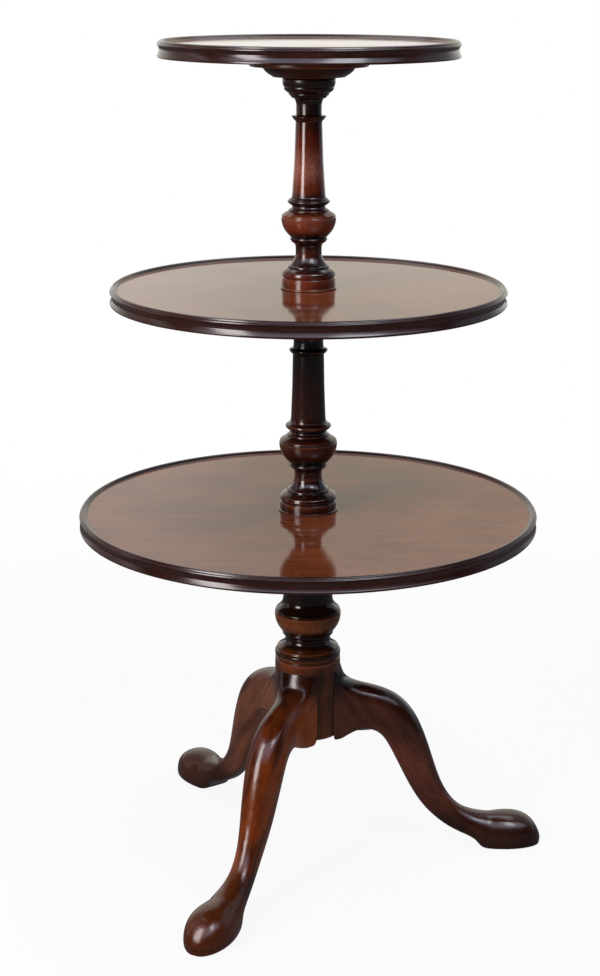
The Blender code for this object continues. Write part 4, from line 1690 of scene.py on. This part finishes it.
class Studio:
    """Pale floor, white backdrop, soft lights and the camera."""

    image = (600, 976)
    focal_pixels = 1890.3
    middle_pixels = (309.8, 463.2)
    eye = Vector((0.0, -2.4343, 1.2173))
    pitch = math.radians(15.054)
    roll = math.radians(0.147)
    yaw = math.radians(0.052)
    sensor = 36
    clip = (0.05, 50)
    floor_radius = 9.0
    floor_sides = 96
    floor_fade = (0.7, 2.2)
    floor_white = (0.90, 1.00)
    floor_dark = (0.84, 0.84, 0.84, 1.0)
    floor_light = (0.87, 0.87, 0.87, 1.0)
    floor_mirrored = (0.13, 0.13, 0.14, 1.0)
    white = (1.0, 1.0, 1.0, 1.0)
    low_wall = (1.13, 1.13, 1.07, 1.0)
    wall_bands = (
        ((0.05, 0.20), (0.80, 0.79, 0.68, 1.0)),
        ((0.20, 0.27), (0.69, 0.69, 0.58, 1.0)),
        ((0.285, 0.34), (1.02, 0.90, 0.80, 1.0)),
    )
    left_wall_span = (-0.10, 0.0)
    left_wall_share = 0.6
    left_wall = (1.14, 1.10, 1.02, 1.0)
    sides_span = (-0.6, 0.6)
    left_side = (0.50, 0.40, 0.41, 1.0)
    right_side = (0.30, 0.37, 0.47, 1.0)
    front_span = (-0.10, 0.25)
    front = (0.020, 0.021, 0.026, 1.0)
    wall_span = (0.55, 0.85)
    plain_span = (-0.10, 0.80)
    plain_front = (0.13, 0.13, 0.13, 1.0)
    plain_back = (0.45, 0.45, 0.45, 1.0)
    glows = (
        Glow((-75, 80), (32, 62), 9, (1.95, 2.15, 2.75, 1.0)),
        Glow((-102, -92), (-30, 60), 4, (1.05, 1.00, 1.00, 1.0)),
    )
    softboxes = (
        Softbox(
            name="left",
            place=Vector((-1.70, -1.70, 1.76)),
            aim=Vector((0, 0, 1.76)),
            size=(0.95, 2.50),
            watts=65,
            tint=(1.0, 0.95, 0.94, 1.0),
            glare=14.0,
        ),
        Softbox(
            name="right",
            place=Vector((0.98, -1.63, 2.85)),
            aim=Vector((0, 0, 0.8)),
            size=(1.35, 1.70),
            watts=38,
            tint=(0.86, 0.92, 1.0, 1.0),
            glare=11.0,
            soft=0.25,
        ),
        Softbox(
            name="overhead",
            place=Vector((0, 0.9, 2.9)),
            aim=Vector((0, 0, 0.7)),
            size=(2.4, 1.6),
            watts=26,
            tint=(0.97, 0.98, 1.0, 1.0),
        ),
    )

    def __init__(self, axis: Vector) -> None:
        """Keep the pillar's axis.

        Args:
            axis: where the pillar stands on the floor.
        """
        self.axis = axis

    def make_camera(self) -> None:
        """Stand the camera where the photograph was taken from."""
        data = bpy.data.cameras.new("camera")
        camera = stand("camera", data)
        bpy.context.scene.camera = camera
        ahead = Vector(
            (
                math.sin(self.yaw) * math.cos(self.pitch),
                math.cos(self.yaw) * math.cos(self.pitch),
                -math.sin(self.pitch),
            )
        )
        level = Vector((math.cos(self.yaw), -math.sin(self.yaw), 0))
        up = level.cross(ahead)
        right = level * math.cos(self.roll) + up * math.sin(self.roll)
        upright = up * math.cos(self.roll) - level * math.sin(self.roll)
        turn = Matrix((right, upright, -ahead)).transposed()
        camera.matrix_world = Matrix.Translation(self.eye + self.axis) @ turn.to_4x4()
        long_side = max(self.image)
        data.sensor_fit = "AUTO"
        data.sensor_width = self.sensor
        data.lens = self.focal_pixels / long_side * data.sensor_width
        data.shift_x = (self.image[0] / 2 - self.middle_pixels[0]) / long_side
        data.shift_y = (self.middle_pixels[1] - self.image[1] / 2) / long_side
        data.clip_start, data.clip_end = self.clip

    def rays(self, bench: Bench) -> tuple[Figure, Figure]:
        """Tell who looks at what stands round the table.

        Args:
            bench: the nodes to tell it in.

        Returns:
            1 where the camera looks, and 1 where a mirrored or a passing ray does.
        """
        path = bench.node("ShaderNodeLightPath")
        mirrored = Figure(bench, path.outputs["Is Glossy Ray"])
        mirrored = mirrored.maths("MAXIMUM", path.outputs["Is Transmission Ray"])
        return Figure(bench, path.outputs["Is Camera Ray"]), mirrored

    def make_floor(self) -> None:
        """Lay a pale floor that shades under the table and fades into the backdrop."""
        bm = bmesh.new()
        bmesh.ops.create_circle(bm, cap_ends=True, segments=self.floor_sides, radius=self.floor_radius)
        floor = stand_mesh("floor", bm)
        made, bench = new_bench("floor_paper")
        place = bench.node("ShaderNodeTexCoord").outputs["Object"]
        away = bench.node("ShaderNodeVectorMath", {0: place}, operation="LENGTH")
        far = Figure(bench, away.outputs["Value"]).rise(*self.floor_fade)
        seen, mirrored = self.rays(bench)
        fibre = bench.mix(FIBRE.whole(bench, place), self.floor_dark, self.floor_light)
        paper = bench.node("ShaderNodeBsdfDiffuse", {"Color": fibre}).outputs[0]
        tint = bench.mix(mirrored, self.white, self.floor_mirrored)
        white = bench.node("ShaderNodeEmission", {"Color": tint, "Strength": 1.0}).outputs[0]
        near, most = self.floor_white
        share = mirrored.maths("MAXIMUM", seen * (near + (most - near) * far))
        mixed = bench.node("ShaderNodeMixShader", {0: share, 1: paper, 2: white})
        bench.finish(mixed.outputs[0])
        floor.data.materials.append(made)

    def make_backdrop(self) -> None:
        """Make the surroundings white to the camera, and a dim room with soft lamps to gloss."""
        world = bpy.data.worlds.new("studio")
        bpy.context.scene.world = world
        world.use_nodes = True
        bench = Bench(world.node_tree)
        way = bench.node("ShaderNodeTexCoord").outputs["Generated"]
        east, back, high = bench.parts(way)
        around = east.maths("ARCTAN2", back * -1.0)
        lift = high.maths("ARCSINE")
        seen, mirrored = self.rays(bench)
        wall = self.low_wall
        for span, tint in self.wall_bands:
            wall = bench.mix(high.rise(*span), wall, tint)
        left = (1 - east.rise(*self.left_wall_span)) * self.left_wall_share
        wall = bench.mix(left, wall, self.left_wall)
        sides = bench.mix(east.rise(*self.sides_span), self.left_side, self.right_side)
        room = bench.mix(back.rise(*self.front_span), self.front, sides)
        room = bench.mix(back.rise(*self.wall_span), room, wall)
        for glow in self.glows:
            room = bench.mix(glow.share(around, lift), room, glow.tint)
        plain = bench.mix(back.rise(*self.plain_span), self.plain_front, self.plain_back)
        colour = bench.mix(mirrored, plain, room)
        colour = bench.mix(seen, colour, self.white)
        shader = bench.node("ShaderNodeBackground", {"Color": colour, "Strength": 1.0})
        bench.finish(shader.outputs[0], "ShaderNodeOutputWorld")

    def light(self) -> None:
        """Hang the lights."""
        for softbox in self.softboxes:
            softbox.hang_lamp(self.axis)
            if softbox.glare:
                softbox.hang_panel(self.axis)

    def build(self) -> None:
        """Set up the whole studio."""
        self.make_camera()
        self.make_floor()
        self.make_backdrop()
        self.light()
        bpy.context.scene.view_settings.view_transform = "Standard"


def dress_ironwork(record: dict[str, Any], nodes: dict[str, bpy.types.Object]) -> None:
    """Finish the plate and put detailed screws in place of the plain ones.

    Args:
        record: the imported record.
        nodes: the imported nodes.
    """
    plate = nodes["spider_plate"]
    plate.data.materials.clear()
    plate.data.materials.append(IRON.material("cast_plate"))
    weld = plate.modifiers.new("weld", "WELD")
    weld.merge_threshold = MERGE
    rounding = plate.modifiers.new("rounding", "BEVEL")
    rounding.width = PLATE_EDGE
    rounding.segments = 2
    rounding.limit_method = "ANGLE"
    steel = STEEL.material("screw_steel")
    screws = Screws()
    for body, members in record["behaviour"]["bodies"].items():
        for node in sorted(members):
            if "screw" in node:
                screws.make(node, body, steel)


def main() -> None:
    """Build the table and its studio."""
    logging.basicConfig(level=logging.INFO, format="%(message)s")
    for old in list(bpy.data.objects):
        bpy.data.objects.remove(old)
    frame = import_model()
    low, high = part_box("base_column")
    axis = Vector(((low.x + high.x) / 2, (low.y + high.y) / 2, 0))
    Studio(axis).build()
    Pillar(axis).build()
    for name, bored in (("bottom", True), ("middle", True), ("top", False)):
        tier = Tier.of(name, bored)
        tier.make_tray()
        tier.make_bearer()
    legs = {
        "leg_right": DULL_LEG_POLISH,
        "leg_back": BACK_LEG_POLISH,
        "leg_front": FRONT_LEG_POLISH,
    }
    for number, (node, polish) in enumerate(legs.items()):
        Leg(node, math.radians(FIRST_LEG + LEG_TURN * number), axis, polish).build()
    dress_ironwork(frame["record"], frame["nodes"])


if __name__ == "__main__":
    main()
